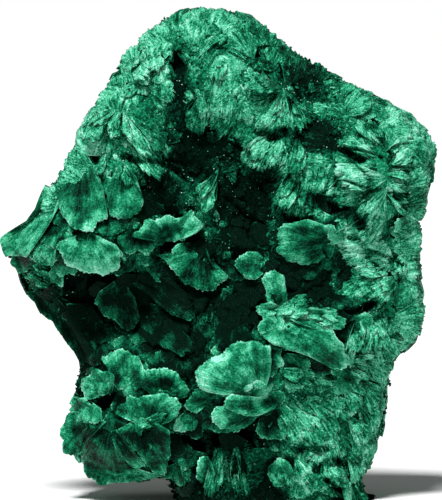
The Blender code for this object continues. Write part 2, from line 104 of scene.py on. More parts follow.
# Smooth plates on the front: name, where the fibres start, how proud the rim is, tone (-1 to 1), and the rim.
# The low tones of the recess plates and the flank are painted shade, as they lie in shadow.
PLATES = [
    ("foot_left", (-19.5, 15), 2.6, -0.35, [
        (-20.8, 14.8), (-22.3, 13), (-24.3, 11.2), (-25.2, 9), (-25.1, 6.6), (-24.2, 4.3), (-21.5, 2.9),
        (-18, 3.3), (-15.2, 4.6), (-14.8, 6)]),
    ("foot_hem", (-17.5, 6.6), 2.9, 0.4, [
        (-24.7, 5.4), (-22.8, 3.5), (-20, 2.9), (-16, 3.4), (-12.6, 3.7), (-11, 4.6)]),
    ("foot_strip", (-20, 13.6), 3.0, -0.3, [
        (-18.8, 9.6), (-15.3, 5.8), (-13.6, 6.6), (-15.6, 9.8), (-18.4, 13.4)]),
    ("foot_right", (-15.2, 15.2), 3.4, -0.3, [
        (-18.3, 13.6), (-16.2, 10.4), (-13.6, 7.2), (-11.6, 4.6), (-9.9, 5), (-9.2, 8), (-8.8, 10.8),
        (-9.4, 13.2), (-11.4, 14.8)]),
    ("foot_fold", (-13.5, 13.6), 3.0, 0.05, [
        (-19, 16.2), (-18.6, 17.4), (-17, 17.8), (-16.6, 19), (-14, 19.4), (-11.5, 19.8), (-8.5, 19.3),
        (-6.8, 18.2), (-7.8, 16), (-9.5, 14.6)]),
    ("foot_crown", (-10.5, 18), 2.6, -0.1, [
        (-14.6, 21.3), (-14.2, 23.4), (-12.2, 24.3), (-9.7, 24.6), (-8, 23.9), (-6.8, 22.6), (-5.4, 21),
        (-5.8, 19.4)]),
    ("foot_dome", (-17.5, 20.3), 2.8, 0.3, [
        (-19.6, 23.2), (-21.4, 25.3), (-20.4, 26.7), (-17.5, 27.2), (-15.2, 26.5), (-14.3, 25),
        (-13.6, 23.4), (-14, 21.4), (-15, 20.4)]),
    ("foot_ear", (-19.6, 19.6), 2.2, 0.2, [
        (-18.9, 22), (-19.3, 23.4), (-20.3, 24.2), (-22, 23.7), (-24, 23), (-25.4, 21.6), (-25.5, 20),
        (-24.8, 18)]),
    ("foot_side_upper", (-22.5, 16.5), 2.0, 0.2, [
        (-24.5, 18.8), (-26.4, 18.6), (-27.6, 17.3), (-27.2, 15.6)]),
    ("foot_side", (-24, 13.8), 2.4, -0.2, [
        (-26.4, 16), (-28, 14.8), (-29, 13), (-29, 10.8), (-28.6, 9), (-27.5, 8), (-26, 8.3), (-25.2, 10)]),
    ("foot_button", (-5, 17), 2.2, 0.3, [
        (-7.3, 16.2), (-8.3, 14.6), (-8.5, 13.4), (-7.3, 12.6), (-5.5, 12.8), (-4.6, 13.6), (-4, 15.2)]),
    ("lip_ear", (-1.4, 18.8), 2.6, 0.1, [(-4.4, 16.4), (-6.2, 17.5), (-5.9, 19.3), (-5, 20.8), (-3, 21.3)]),
    ("great_lobe", (7.2, 19.2), 3.8, 0.85, [
        (-2.4, 20.3), (-4.5, 21.4), (-4.8, 22.8), (-4.4, 24.4), (-3.2, 25.6), (-1.2, 26.5), (0.4, 26.9),
        (1.2, 28.3), (2.5, 29), (4.8, 29.3), (7, 29.4), (8.6, 28.6), (8.9, 26.5), (8.6, 23.5)]),
    ("lower_lip", (8.2, 18.6), 4.6, 0.3, [
        (-1, 17.8), (-2.2, 16.6), (-1.6, 15.2), (0, 14), (1.8, 13.5), (4, 13.8), (5.6, 14.9), (6.5, 16.2)]),
    ("upper_lip", (10.3, 18.8), 5.2, 0.4, [
        (2, 20.2), (0.2, 18.6), (0.9, 17.3), (3.5, 16.4), (6.5, 16.3), (9.3, 17.2)]),
    ("wave", (8.6, 33.8), 2.8, 0.55, [
        (6.6, 31), (7.6, 29.6), (9.5, 28.7), (11.8, 27.9), (14.5, 27.2), (17, 25.8), (19.5, 24.4),
        (21.8, 24.6), (22.3, 26.5), (21, 29.5), (19.5, 32)]),
    ("wave_root", (11, 31.5), 3.2, 0.3, [(9, 34.3), (7.2, 34), (6.4, 32.8), (6.4, 31), (7.4, 29.7)]),
    ("wave_crest", (9, 35.2), 2.6, 0.6, [
        (13.5, 32.4), (18, 31), (22, 31.5), (22.6, 33), (19, 34.6), (15, 35.4)]),
    ("pale_post", (10.6, 35), 1.8, 0.7, [
        (7.6, 36), (7.8, 38), (7, 40), (8.6, 41.4), (9.9, 41.9), (11.2, 40.5), (11.7, 38), (12, 36.4)]),
    ("pale_foot", (11, 35), 2.6, 0.8, [(8.6, 36.4), (6.8, 35.8), (5.6, 34.8), (6.6, 33.4), (8.8, 33.6)]),
    ("hollow_leaf", (9, 42.4), 2.6, 0.1, [
        (6.5, 44.9), (4.3, 45.2), (3.1, 44.3), (2.4, 42.8), (3.4, 41.3), (4.6, 40.2), (6.2, 40.1)]),
    ("lens", (21, 46.4), 2.4, 0.35, [
        (20, 49.8), (17.5, 50.2), (15.2, 50.9), (13.2, 50.2), (11.2, 50.1), (9.9, 49), (9.5, 47.5),
        (10, 45.6), (11.5, 43.6), (14, 42.6), (17, 42.8)]),
    ("middle_plate", (-3.3, 45.2), 2.4, -0.3, [
        (-11.7, 44.5), (-9.6, 42.6), (-8, 40.6), (-6.6, 39.2), (-4.8, 38.2), (-2.6, 38.1), (-0.5, 38.8),
        (1.2, 40.8), (-1.8, 42.4), (-2.6, 45.6)]),
    ("ledge", (-8.8, 46.8), 3.2, 0.6, [
        (-13.4, 47.2), (-16.3, 47.9), (-15, 49.3), (-13.4, 50.8), (-11, 51.3), (-9.3, 51.6), (-8.2, 51),
        (-7, 51.3), (-5.3, 52.6), (-4.5, 51.3), (-3.5, 49.8), (-3.9, 48.6), (-5.4, 47.8)]),
    ("bright_petal", (-23.8, 48.8), 3.6, 0.8, [
        (-28.6, 47), (-29.5, 45.6), (-28.4, 44), (-27, 42.2), (-25, 41.3), (-22.5, 41), (-20, 41.1),
        (-17.9, 42.6), (-17.7, 44.8), (-19, 46.6)]),
    ("long_petal", (-24.5, 62), 2.8, 0.35, [
        (-29.3, 57), (-29.2, 54), (-28.6, 51.5), (-27, 50), (-25.3, 49.3), (-23.6, 48.4), (-22.5, 49.8),
        (-21.6, 51), (-20.2, 51.2), (-20.4, 53.5), (-21.6, 58)]),
    ("second_petal", (-18, 61.5), 2.4, 0.15, [
        (-20.4, 56), (-20.2, 53), (-19.6, 51.8), (-17.8, 51), (-16.2, 51.3), (-14.5, 51.5), (-13.9, 53),
        (-14, 55), (-15.2, 58.5)]),
    ("left_arm", (-27.8, 54.8), 2.8, 0.6, [
        (-32.6, 57), (-34.4, 53), (-36.6, 50.6), (-39.4, 49), (-40.6, 47), (-40, 44.8), (-37.5, 43.4),
        (-35, 43.6), (-33.3, 46), (-31.5, 48.6), (-30.2, 51), (-29.4, 54)]),
    ("arm_side", (-29.6, 48.6), 1.8, 0.1, [
        (-31.8, 47.2), (-33.8, 44.4), (-33, 43), (-31.5, 41.8), (-30, 42.5), (-29.4, 45)]),
    ("recess_slab", (-18, 40.5), 3.0, -0.8, [
        (-21.8, 37.8), (-22.8, 35.6), (-21.2, 33.8), (-19.6, 32.1), (-17.5, 31.1), (-15.3, 31.3),
        (-14.7, 33.5), (-15.4, 36.4)]),
    ("recess_slope", (-14.6, 36), 2.2, -1.0, [
        (-15, 31.8), (-13, 29.5), (-10, 27.8), (-6.5, 26.5), (-4.8, 27.5), (-6, 30), (-9, 33),
        (-11.5, 35.3)]),
    ("recess_shelf", (-14.4, 41), 3.0, -1.2, [
        (-15.8, 39.3), (-13, 37), (-10.5, 35), (-8.2, 33.4), (-5.8, 32.9), (-4.6, 34.2), (-5.5, 37),
        (-9, 40.3)]),
    ("flank", (-31, 37.8), 1.4, -0.9, [
        (-35.5, 37.4), (-33, 33.8), (-30.5, 31.8), (-27.5, 27.7), (-25.2, 24.4), (-22, 25), (-21.5, 27.3),
        (-25, 31), (-28.5, 35.3)]),
    ("foot_knob", (-2, 3), 2.2, 0.1, [
        (-4.4, 4.4), (-4.8, 6.6), (-4, 8.2), (-2.8, 8.5), (-1.8, 7.6), (-1, 5.6)]),
    ("right_knob", (12, 3), 2.0, 0.1, [(9.4, 3), (8.4, 5), (9, 7), (10.5, 7.8), (12.3, 7.2), (13.2, 5.4)]),
    ("right_ear", (30.5, 34.8), 1.8, 0.4, [
        (30, 38.6), (31.5, 39.4), (33.8, 38.6), (34.6, 36.6), (33.5, 34.8)]),
    ("right_button", (33.8, 48.2), 1.8, 0.3, [(30.8, 48.4), (30.9, 50.2), (32.2, 51.2), (33.6, 50.8)]),
]

# The lower left of the front, where every fan is a smooth petal.
SATIN_PART = [
    (-41, 50), (-31, 60), (-24, 60), (-20, 56), (-13, 57), (-9.5, 52), (-3, 51), (0.5, 43), (1, 38),
    (4, 31), (9, 22), (9, 14), (3, 13), (-3, 9), (-8, 0), (-32, 0), (-32, 30), (-41, 40),
]
# The middle of the front, where petals also grow between the fans.
MIDDLE_PART = [(4, 30), (1, 38), (1, 44), (5, 50), (13, 53), (23, 51), (24, 40), (23, 24), (13, 24), (9, 22)]

# Sprays of coarser fibres: root x, root z, heading (0 right, 90 up), reach, spread, lift of the rim, tone.
SHOULDER_SPRAYS = [
    (-18.5, 71.5, 215, 8.5, 42, 24, 0.1), (-19, 71, 240, 9.5, 40, 26, 0.3),
    (-18.5, 71, 265, 9, 32, 28, 0.3), (-18, 71, 286, 8, 40, 24, 0.2), (-17.8, 70.5, 310, 13.5, 22, 28, 1.0),
    (-17, 68, 300, 12, 30, 20, 0.5), (-17, 77, 335, 9.5, 38, 26, 0.6), (-18, 76, 300, 6, 50, 20, 0.0),
    (-11, 82, 275, 6.5, 48, 24, 0.4), (-9, 85.5, 300, 5.5, 60, 20, 0.0), (-4.5, 79.5, 50, 8, 28, 20, 0.4),
    (-0.5, 81, 275, 6.5, 48, 22, 0.5), (5, 85, 265, 6, 60, 20, -0.1), (-17.5, 78.5, 240, 5.5, 60, 20, 0.0),
    (-16, 82, 245, 5, 60, 20, 0.1), (-13.5, 80.5, 240, 5.5, 55, 20, 0.2),
    (-21, 72.5, 225, 4.5, 60, 20, 0.0), (-16.5, 68.5, 302, 8, 74, 14, -1.0),
    (-4.6, 76.6, 92, 4, 90, 16, -1.0), (10.8, 77, 165, 6, 60, 16, 0.4), (-14.5, 76, 250, 5, 60, 20, -0.1),
    (-3.5, 74, 265, 7.5, 50, 16, -0.3), (-21, 62.8, 268, 5, 50, 24, 0.2),
    (-17, 62.5, 285, 6.5, 50, 22, 0.3), (-15, 79, 320, 7.5, 40, 22, 0.5), (9, 86, 290, 5, 60, 20, 0.0),
]
BROW_SPRAYS = [
    (11, 74, 178, 9, 34, 22, 0.3), (11.5, 73.5, 212, 9.5, 28, 24, 0.5), (11.5, 73.5, 240, 9, 36, 24, 0.4),
    (12, 74, 270, 9, 32, 22, 0.1), (12.5, 73.5, 300, 8, 38, 18, -0.2), (10, 66.5, 215, 8.5, 48, 26, 0.6),
    (11, 66, 245, 7.5, 42, 26, 0.6), (13.5, 66, 262, 8.5, 34, 24, 0.4), (14.5, 61, 248, 10, 34, 24, 0.6),
    (15.5, 60, 270, 8, 38, 20, 0.1), (18, 62, 265, 7.5, 38, 18, -0.1),
]
RIGHT_SPRAYS = [
    (30, 58, 180, 10.5, 50, 20, 0.5), (30, 56.5, 206, 10, 46, 22, 0.7), (29.5, 56, 240, 7.5, 48, 22, 0.7),
    (28, 62, 165, 7, 48, 20, 0.3), (29, 64, 140, 6.5, 48, 20, 0.3), (29, 64, 105, 6, 52, 20, 0.2),
    (29.5, 63, 60, 6.5, 52, 20, 0.2), (29.5, 60.5, 25, 7, 42, 22, 0.3), (29, 59, 0, 7, 32, 26, 0.4),
    (29, 57.5, 340, 7, 28, 26, 0.3), (29.5, 55.5, 325, 7, 34, 24, 0.2), (30, 51, 195, 8, 44, 20, 0.6),
    (34.5, 48.5, 145, 4.5, 50, 20, 0.2), (33.5, 45, 200, 8, 52, 20, 0.5), (32, 41, 205, 9, 44, 20, 0.4),
    (31, 42.5, 190, 7, 44, 22, 0.4), (31, 34.5, 345, 7, 60, 20, 0.3),
]
HOLLOW_SPRAYS = [
    (-0.5, 60, 252, 9.5, 26, 30, 1.2), (-2.5, 37, 275, 7, 44, 18, -0.1), (-2.5, 31, 265, 5.5, 60, 20, -0.1),
    (-16, 51, 270, 2.6, 120, 26, 0.2), (-13, 46.5, 250, 5, 60, 16, 0.1), (-19, 47.5, 255, 5, 60, 16, 0.0),
    (-29.5, 35.5, 170, 6.5, 54, 14, -0.4), (-29.5, 38, 148, 8.5, 34, 18, 0.0),
    (-28.5, 40, 155, 8, 34, 16, 0.1), (-24, 40.5, 250, 4.5, 60, 20, -0.1), (14, 43, 300, 5, 70, 16, -0.4),
    (17, 40, 250, 4.5, 70, 16, -0.4),
]
FOOT_SPRAYS = [
    (-23.5, 11, 215, 5.8, 70, 18, 0.1), (-16.5, 14.5, 335, 7.5, 52, 24, 0.2),
    (-13, 15, 90, 4.2, 116, 26, 0.6), (-15, 6.5, 260, 3.8, 90, 18, 0.4), (0, 12, 265, 9, 38, 20, 0.1),
    (2.5, 10.5, 275, 7.5, 42, 20, 0.1), (-9, 9.5, 305, 6, 36, 22, 0.1), (8, 12.5, 200, 5.5, 36, 22, 0.4),
    (8, 9.5, 185, 5, 36, 22, 0.3), (12, 6, 190, 3.8, 92, 22, 0.1), (-8.2, 15.5, 240, 4.6, 60, 20, 0.1),
]
LOWER_RIGHT_SPRAYS = [
    (7.5, 34, 355, 12, 32, 20, 0.5), (13, 34, 350, 10, 38, 22, 0.6), (24.5, 34, 262, 9, 46, 26, 0.5),
    (26, 34, 285, 8.5, 42, 24, 0.3), (27, 33, 305, 7.5, 42, 22, 0.2), (9, 25, 325, 11, 38, 16, -0.4),
    (13, 25.5, 330, 10, 34, 16, -0.2), (20, 24, 335, 9, 42, 18, 0.1), (22, 21, 300, 6, 52, 22, 0.2),
    (22, 25.5, 350, 7, 42, 20, 0.1), (9.5, 19.5, 300, 9, 42, 20, 0.4), (11, 18.5, 320, 10, 38, 20, 0.6),
    (15, 19, 325, 9.5, 38, 18, 0.6), (9.5, 16, 275, 5.5, 62, 22, 0.2), (14, 12, 300, 5, 56, 22, 0.1),
    (17, 14.5, 320, 7.5, 48, 20, 0.4), (22.5, 16, 310, 8, 44, 20, 0.4), (26, 16.5, 300, 6.5, 46, 22, 0.2),
    (19, 7, 305, 6, 62, 22, 0.2), (13, 8.5, 300, 6, 62, 22, 0.1), (11.5, 7.5, 255, 5.5, 72, 20, 0.0),
    (22.5, 10, 320, 5, 60, 22, 0.1), (23.5, 7, 315, 5, 60, 20, 0.1),
]
SPRAYS = (
    SHOULDER_SPRAYS + BROW_SPRAYS + RIGHT_SPRAYS + HOLLOW_SPRAYS + FOOT_SPRAYS + LOWER_RIGHT_SPRAYS
)

# Darker (-) and paler (+) areas of the front: x, z, half-width, half-height, strength. Most are painted light
# and
# shade: shade in the hollows, the recess, the cavities and along the bottom, and highlight on the lit lobes
# and petals; a few are the stone's own darker greens.
SHADES = [
    (-5, 62.5, 4.5, 4.5, -1.5), (0, 66.5, 4, 2, -0.8), (5, 52, 5.5, 9, -1.5), (-11, 56, 3, 4, -1.2),
    (-8, 74, 1.6, 7, -0.7), (4, 33.5, 3.5, 4.5, -1.4), (-15, 36, 14, 5, -1.5), (-7, 28, 4, 4, -1.1),
    (17, 39, 7, 4, -1.0), (18, 66, 3.5, 3, -0.7), (14, 77, 3, 2, -0.6), (18, 53, 3, 1.5, -0.6),
    (-20, 19, 2.5, 1.5, -0.8), (-19, 8.5, 3, 2.5, -0.5), (-10, 11, 4, 3, -0.8), (-2, 11, 6, 2, -1.2),
    (7, 5, 3.5, 4, -0.8), (1, 0, 12, 3, -1.4), (14, 26, 4, 2, -0.7), (21, 30, 3, 1, -0.4),
    (27, 17, 3, 1.5, -0.6), (-34, 38, 4, 4, -0.9), (-27, 29, 4, 6, -1.1), (-9, 46, 4, 2, -0.8),
    (3, 25, 6, 5, 0.9), (7, 63, 3, 4, 0.6), (23, 57, 6, 4, 0.5), (-23, 56, 2, 5, 0.5),
    (-25, 45, 6, 2.5, 0.7), (-11, 80, 3, 5, 0.5), (-23, 68, 4, 4, 0.3), (-17, 64, 4, 3, 0.4),
    (6, 80, 8, 5, -0.35), (14, 78, 5, 4, -0.4), (-6, 70, 5, 4, -0.3), (24, 12, 10, 10, -0.25),
    (17, 65.5, 4.6, 3.6, -0.9), (5, 23.5, 3.5, 3, 0.6), (-2, 55, 2, 4.5, 0.7), (8.5, 37, 1.5, 3.5, 0.6),
    (14, 33, 5, 2, 0.5), (20, 28, 5, 2, 0.4), (27, 46, 4, 3, 0.4), (33, 66, 4, 4, 0.3),
    (-13, 49.5, 3, 1.5, 0.5), (-17, 25, 4, 2, 0.3),
]

# Where dark velvet lines the hollows and no fans grow: x, z, half-width, half-height, darkness. The darkness
# is partly the velvet's own near-black green and partly painted shade in the hollows, the recess, the
# cavities and under the base.
VELVET_AND_SHADE = [
    (-7.6, 74, 2.0, 8, 1.1), (-3, 62.5, 6.6, 4.6, 1.5), (-10.5, 55.2, 4.4, 4.6, 1.4),
    (4.3, 53, 6.2, 7.5, 1.5), (1, 46, 4, 4, 1.4), (6, 38, 3, 3.5, 1.6), (3, 33.5, 4, 4.8, 1.7),
    (-1, 38, 2.6, 5, 1.2), (-16, 36.5, 13, 4.8, 1.6), (-9, 30, 7, 4.5, 1.2), (16.5, 41, 5.6, 4.6, 1.1),
    (17, 66, 4.2, 3.2, 1.2), (16.5, 74.5, 4.4, 3.6, 1.1), (-8, 46.6, 4.5, 1.8, 1.1),
    (-5.5, 11, 4.6, 3, 1.6), (3, 11.5, 4, 2.4, 1.7), (0, 1, 12, 2.6, 1.6), (-31, 31, 5, 8, 0.9),
    (13, 27, 3, 1.6, 1.3),
]

# Black cracks and cavities between the fans: half-width, depth, then the places they run through. They are
# cut into the surface and also painted darker with their depth, as shade.
CRACKS = [
    (1.0, 4.0, [(-8, 79.3), (-8, 78.2)]), (0.6, 2.5, [(-25, 62), (-22.5, 61.5)]),
    (0.5, 2.5, [(-17, 61.8), (-14.9, 61.3)]), (0.5, 2.5, [(5.5, 80.3), (10, 80)]),
    (0.6, 2.5, [(7.2, 66), (9.5, 65.6), (11, 66.5)]), (0.8, 3.0, [(-10, 46), (-7, 46.4), (-4.5, 46.9)]),
    (0.5, 2.5, [(-32, 48), (-30.5, 52), (-29.5, 55)]), (1.2, 3.5, [(-27, 39.2), (-21, 39.6), (-16, 40.3)]),
    (1.7, 3.0, [(-27, 35), (-23.5, 35.5)]),
    (0.8, 3.0, [(-21.5, 17.2), (-19, 18.5), (-15, 19.3), (-10, 20)]),
    (0.5, 2.0, [(-21, 12), (-18, 8.5), (-15, 6)]), (0.5, 2.0, [(-18.5, 13.5), (-13.5, 7.5)]),
    (1.1, 4.5, [(-0.5, 11.6), (2, 12.3), (4.5, 12.2)]), (0.8, 3.5, [(5, 16), (9.3, 16.8)]),
    (1.3, 4.0, [(-7.8, 12.2), (-6, 10.8), (-4.5, 10)]),
    (0.8, 3.5, [(17, 54), (19, 53.2), (20.5, 52.3), (22.5, 52.1), (24.7, 50)]),
    (0.6, 3.0, [(22, 62.8), (24.7, 61.3)]), (0.5, 2.5, [(33, 59.6), (34.8, 58.4)]),
    (0.45, 2.5, [(33, 56.2), (35, 56.5)]), (0.45, 2.5, [(31, 54.8), (33, 55.2)]),
    (0.4, 2.0, [(32.8, 53), (36, 53.8)]),
    (0.9, 3.5, [(13, 27.2), (16, 26), (18, 24.6), (19.5, 23.4), (21.5, 23.8)]),
    (0.6, 2.5, [(17.5, 29.5), (21, 30.5), (24, 31.8)]), (0.5, 2.5, [(28, 26.4), (32, 26.8)]),
    (0.6, 2.5, [(22, 33.9), (24.5, 34.4), (27, 35.6)]), (0.45, 2.0, [(27, 32.6), (28.5, 33.4)]),
    (0.5, 2.5, [(25, 16.3), (27.5, 16.6), (30, 17.2)]), (0.5, 2.5, [(23.5, 14.6), (25.5, 15.8)]),
    (0.5, 2.5, [(17, 5.8), (19, 7.2), (20.5, 7.5), (22.5, 6.3)]), (0.4, 2.0, [(19, 4), (23, 0.9)]),
    (0.4, 2.0, [(13, 9.7), (19, 9.9)]),
]

# Fans scattered between the listed ones: spacing of the roots, reach, spread and lift.
BROAD_FILL = (2.8, 7.2, 78.0, 10.0)
SMALL_FILL = (2.2, 4.2, 90.0, 13.0)
TUFTS = (1.6, 2.3, 95.0, 26.0)
FILL_TRIES, FILL_SWAY, FILL_SHORTER = 9000, 32, 0.65
TUFT_TRIES, TUFT_EDGE = 14000, 0.3
PETAL_SPACING, PETAL_REACH, PETAL_SPREAD, PETAL_PROUD = 2.3, 4.6, 62.0, 1.1
PETAL_SWAY, PETAL_POINTS, PETAL_TAPER, PETAL_CRACK = 40, 11, 0.25, 1.2
# The gap beside each plate's rim: its width, how far the crust sinks there, and how much darker it is painted
# as shade.
GAP_WIDTH, GAP_DEPTH, GAP_SHADE = 0.9, 1.2, 1.0
CRACK_WIDENING = 1.25
FISSURE_SLOPE, FISSURE_STRETCH, FISSURE_SPACING, FISSURE_WIDTH, FISSURE_DEPTH = -25.0, 2.2, 3.0, 0.10, 1.6
MOTTLE, MOTTLE_SIZE = 0.45, 4.5
CRUST_DETAIL, CRUST_GRAINS = 7, ((0.5, 2.6), (0.3, 1.3), (0.15, 0.7))
GRIT_COUNT, GRIT_SIZE, GRIT_ELSEWHERE = 14000, (0.15, 0.45), 0.05
GRIT_SCATTER = 0.3
# The grit painted pale as glints: its share, sizes and tone.
GLINT_GRIT_SHARE, GLINT_GRIT_SIZE, GLINT_GRIT_TONE = 0.30, (0.08, 0.17), (1.5, 4.5)
HOLLOW = 0.45
RIM_COUNT, RIM_FROM, RIM_TO = 110, -60.0, 162.0
RIM_PLACES, RIM_SPREAD, RIM_LIFT = (0.84, 0.89, 0.93), 70.0, 16.0
RIM_OVER = 0.3
BACK_COUNT, BACK_REACH, BACK_SPREAD, BACK_LIFT = 820, 8.5, 62.0, 16.0
BACK_FROM, BACK_LOWEST = -0.22, -0.86

# How a blade is made, one layer of a fan. Widths and heights are in millimetres; notch, lobing and ragged are
# shares of its length.
Weave = collections.namedtuple(
    "Weave", "fibre ring bundle ridge thread lobe lobing notch ragged wave edge drape")
SPRAY = Weave(fibre=0.28, ring=1.0, bundle=1.0, ridge=0.09, thread=0.16, lobe=3.0, lobing=0.10, notch=0.04,
              ragged=0.08, wave=0.25, edge=0.4, drape=0.75)
TUFT = Weave(fibre=0.40, ring=0.8, bundle=0.6, ridge=0.12, thread=0.12, lobe=1.5, lobing=0.15, notch=0.10,
             ragged=0.12, wave=0.0, edge=0.3, drape=0.75)
BACK_SPRAY = SPRAY._replace(fibre=0.36, ring=1.3)
RIM_SPRAY = SPRAY._replace(lobe=2.2, ragged=0.04, wave=0.1, edge=0.8, drape=0.35)
ROOT_SHARE = 0.03
ROOT_DEPTH = 0.5
ARCH = 0.10
ROLL = 0.35
PLATE_FIBRE, PLATE_RING, PLATE_ROLL, PLATE_RISE = 0.28, 0.6, 0.6, 1.5
PLATE_WAVE, PLATE_THREAD, PLATE_LUMPS, PLATE_RAGGED = 0.45, 0.06, 0.45, 0.18
PLATE_SCALLOPS = 0.5
SHOULDER = 0.28
THREAD_WIDTH, THREAD_LENGTH = 0.42, 2.2
TIP_JITTER, BUNDLE_SHINE, LOBE_RIDGE, CURL, CRACK_SHADE = 0.4, 0.25, 1.6, 0.25, 0.8
SPRAY_LUMPS, SPRAY_LUMP_SIZE = 0.35, 3.5
PLATE_LUMP_SIZES, PLATE_CROWN, PLATE_SIDES, PLATE_WAVES = (2.6, 1.1), 1.45, 0.4, 3.5
# How much darker the blades' undersides are painted, as shade, and how far their rim mark is pushed so that
# the painted rim highlight stays off them.
UNDERSIDE_SHADE, UNDERSIDE_RIM = 0.8, 1.5


# What each point of a mesh keeps for the finishes: how far out along the fibre as a share, how far across the
# fan and along the fibre, tone (with the painted shade and highlights in it), crest of a thread (painted
# lighter as sheen), the fan's own number, and how far from the rim (for the painted rim highlight).
MARKS = ("reach", "across", "along", "tone", "crest", "own", "rim")
REACH, TONE, RIM = MARKS.index("reach"), MARKS.index("tone"), MARKS.index("rim")


def unit(vectors):
    vectors = np.asarray(vectors, float)
    return vectors / np.maximum(np.linalg.norm(vectors, axis=-1, keepdims=True), 1e-9)


def radius_of(outline, angles):
    """How far this outline is from the centre at these angles, seen from the front."""
    x, z = (np.array(outline) - CENTRE).T
    return np.interp(angles, np.arctan2(z, x), np.hypot(x, z), period=2 * math.pi)


def core_radius(angles):
    """How far the core goes at these angles: a drawn-in outline, but below the base over the foot."""
    turns = np.linspace(-CORE_SMOOTHING, CORE_SMOOTHING, 5)
    radius = np.mean([radius_of(OUTLINE, angles + turn) for turn in turns], axis=0) - CORE_INSET
    downward = np.maximum(-np.sin(angles), 0.2)
    foot_x = CENTRE[0] + np.cos(angles) * CENTRE[1] / downward
    within = 1 / (1 + np.exp((np.abs(foot_x - FOOT_MIDDLE) - FOOT_HALF_WIDTH) / 0.7))
    return radius + within * np.where(np.sin(angles) < -0.5, (CENTRE[1] - FOOT_Z) / downward - radius, 0)


def relief(swells, x, z):
    """How far these swells and dents stand out at these places of the front view."""
    return sum(
        height * np.exp(-(((x - cx) / wide) ** 2) - ((z - cz) / tall) ** 2)
        for cx, cz, wide, tall, height in swells
    )


def core_points(directions):
    """The points of the core's surface in these directions from its middle."""
    dx, dy, dz = unit(directions).T
    flat = np.maximum(np.hypot(dx, dz), 1e-9)
    stretch = (flat**BLOCKINESS + np.abs(dy) ** BLOCKINESS) ** (-1 / BLOCKINESS)
    radius = core_radius(np.arctan2(dz, dx)) * stretch
    share = dy * stretch
    x = CENTRE[0] + radius * dx
    z = CENTRE[1] + radius * dz
    front = FRONT_DEPTH * share - np.clip(-share / RELIEF_FADE, 0, 1) * relief(FRONT_RELIEF, x, z)
    back = BACK_DEPTH * share + np.clip(share / RELIEF_FADE, 0, 1) * relief(BACK_RELIEF, x, z)
    return np.stack([x, np.where(share < 0, front, back), z], axis=-1)


def core_normals(directions):
    """Which way the core's surface faces in these directions from its middle."""
    side = unit(np.cross(directions, (0.31, 0.17, 0.93)))
    other = np.cross(directions, side)
    along = core_points(directions + 0.05 * side) - core_points(directions - 0.05 * side)
    across = core_points(directions + 0.05 * other) - core_points(directions - 0.05 * other)
    return unit(np.cross(along, across))


def on_front(x, z):
    """For these places of the front view: angle, share of the way to the outline, and share of the depth."""
    angle = np.arctan2(z - CENTRE[1], x - CENTRE[0])
    share = np.minimum(OUTERMOST, np.hypot(x - CENTRE[0], z - CENTRE[1]) / core_radius(angle))
    return angle, share, (1 - share**BLOCKINESS) ** (1 / BLOCKINESS)


def front_surface(x, z):
    """The core's y at these places of the front view."""
    _, _, depth = on_front(x, z)
    return -FRONT_DEPTH * depth - np.clip(depth / RELIEF_FADE, 0, 1) * relief(FRONT_RELIEF, x, z)


def direction_in_front_of(x, z):
    """The direction from the core's middle to the front surface at this place in the front view."""
    angle, share, depth = on_front(x, z)
    return unit((share * np.cos(angle), -depth, share * np.sin(angle)))


def dropped_on_core(points):
    """These points moved in or out along rays from the core's middle until they lie on its surface."""
    x, y, z = points.T
    x, z = x - CENTRE[0], z - CENTRE[1]
    radius = core_radius(np.arctan2(z, x))
    swell, dent = (relief(swells, points[:, 0], points[:, 2]) for swells in (FRONT_RELIEF, BACK_RELIEF))
    front = y + np.clip(-y / FRONT_DEPTH / RELIEF_FADE, 0, 1) * swell
    back = y - np.clip(y / BACK_DEPTH / RELIEF_FADE, 0, 1) * dent
    depth = np.where(y < 0, front / FRONT_DEPTH, back / BACK_DEPTH)
    return core_points(np.stack([x / radius, depth, z / radius], axis=-1))


def kept_in_outline(points):
    """These points drawn in to the specimen's outline and base where they are outside them."""
    x, z = points[:, 0] - CENTRE[0], points[:, 2] - CENTRE[1]
    share = np.minimum(1, radius_of(OUTLINE, np.arctan2(z, x)) / np.maximum(np.hypot(x, z), 1e-9))
    return np.stack([CENTRE[0] + x * share, points[:, 1], np.maximum(CENTRE[1] + z * share, 0)], axis=-1)


def heading_vector(degrees):
    return np.array([math.cos(math.radians(degrees)), 0, math.sin(math.radians(degrees))])


def hashed(cells):
    """A fixed random number from 0 to 1 for each whole-number cell (x, y, z)."""
    mixed = np.sin(cells @ (12.9898, 78.233, 37.719)) * 43758.5453
    return mixed - np.floor(mixed)


def lumps(points, size):
    """Smooth noise from -1 to 1 with lumps of about this size."""
    places = np.asarray(points) / size
    base = np.floor(places)
    near = places - base
    near = near * near * (3 - 2 * near)
    total = np.zeros(len(places))
    for corner in np.ndindex(2, 2, 2):
        weight = np.prod(np.where(corner, near, 1 - near), axis=1)
        total += weight * hashed(base + corner)
    return 2 * total - 1


def hollow(x, z, cx, cz, wide, tall):
    """1 in the middle of this hollow, and 0.37 at its edge."""
    return np.exp(-((((x - cx) / wide) ** 2 + ((z - cz) / tall) ** 2) ** 2))


def velvet(x, z):
    """How far these places are inside the hollows."""
    return np.max([hollow(x, z, *oval) for *oval, _ in VELVET_AND_SHADE], axis=0)


def shade(x, z):
    """Tone that this place of the front adds: below 0 in the hollows and other dark areas, above 0 in pale
    ones;
    mostly painted shade and highlight, partly the velvet's and the stone's own darker greens.
    """
    dark = np.max([darkness * hollow(x, z, *oval) for *oval, darkness in VELVET_AND_SHADE], axis=0)
    return relief(SHADES, x, z) - dark


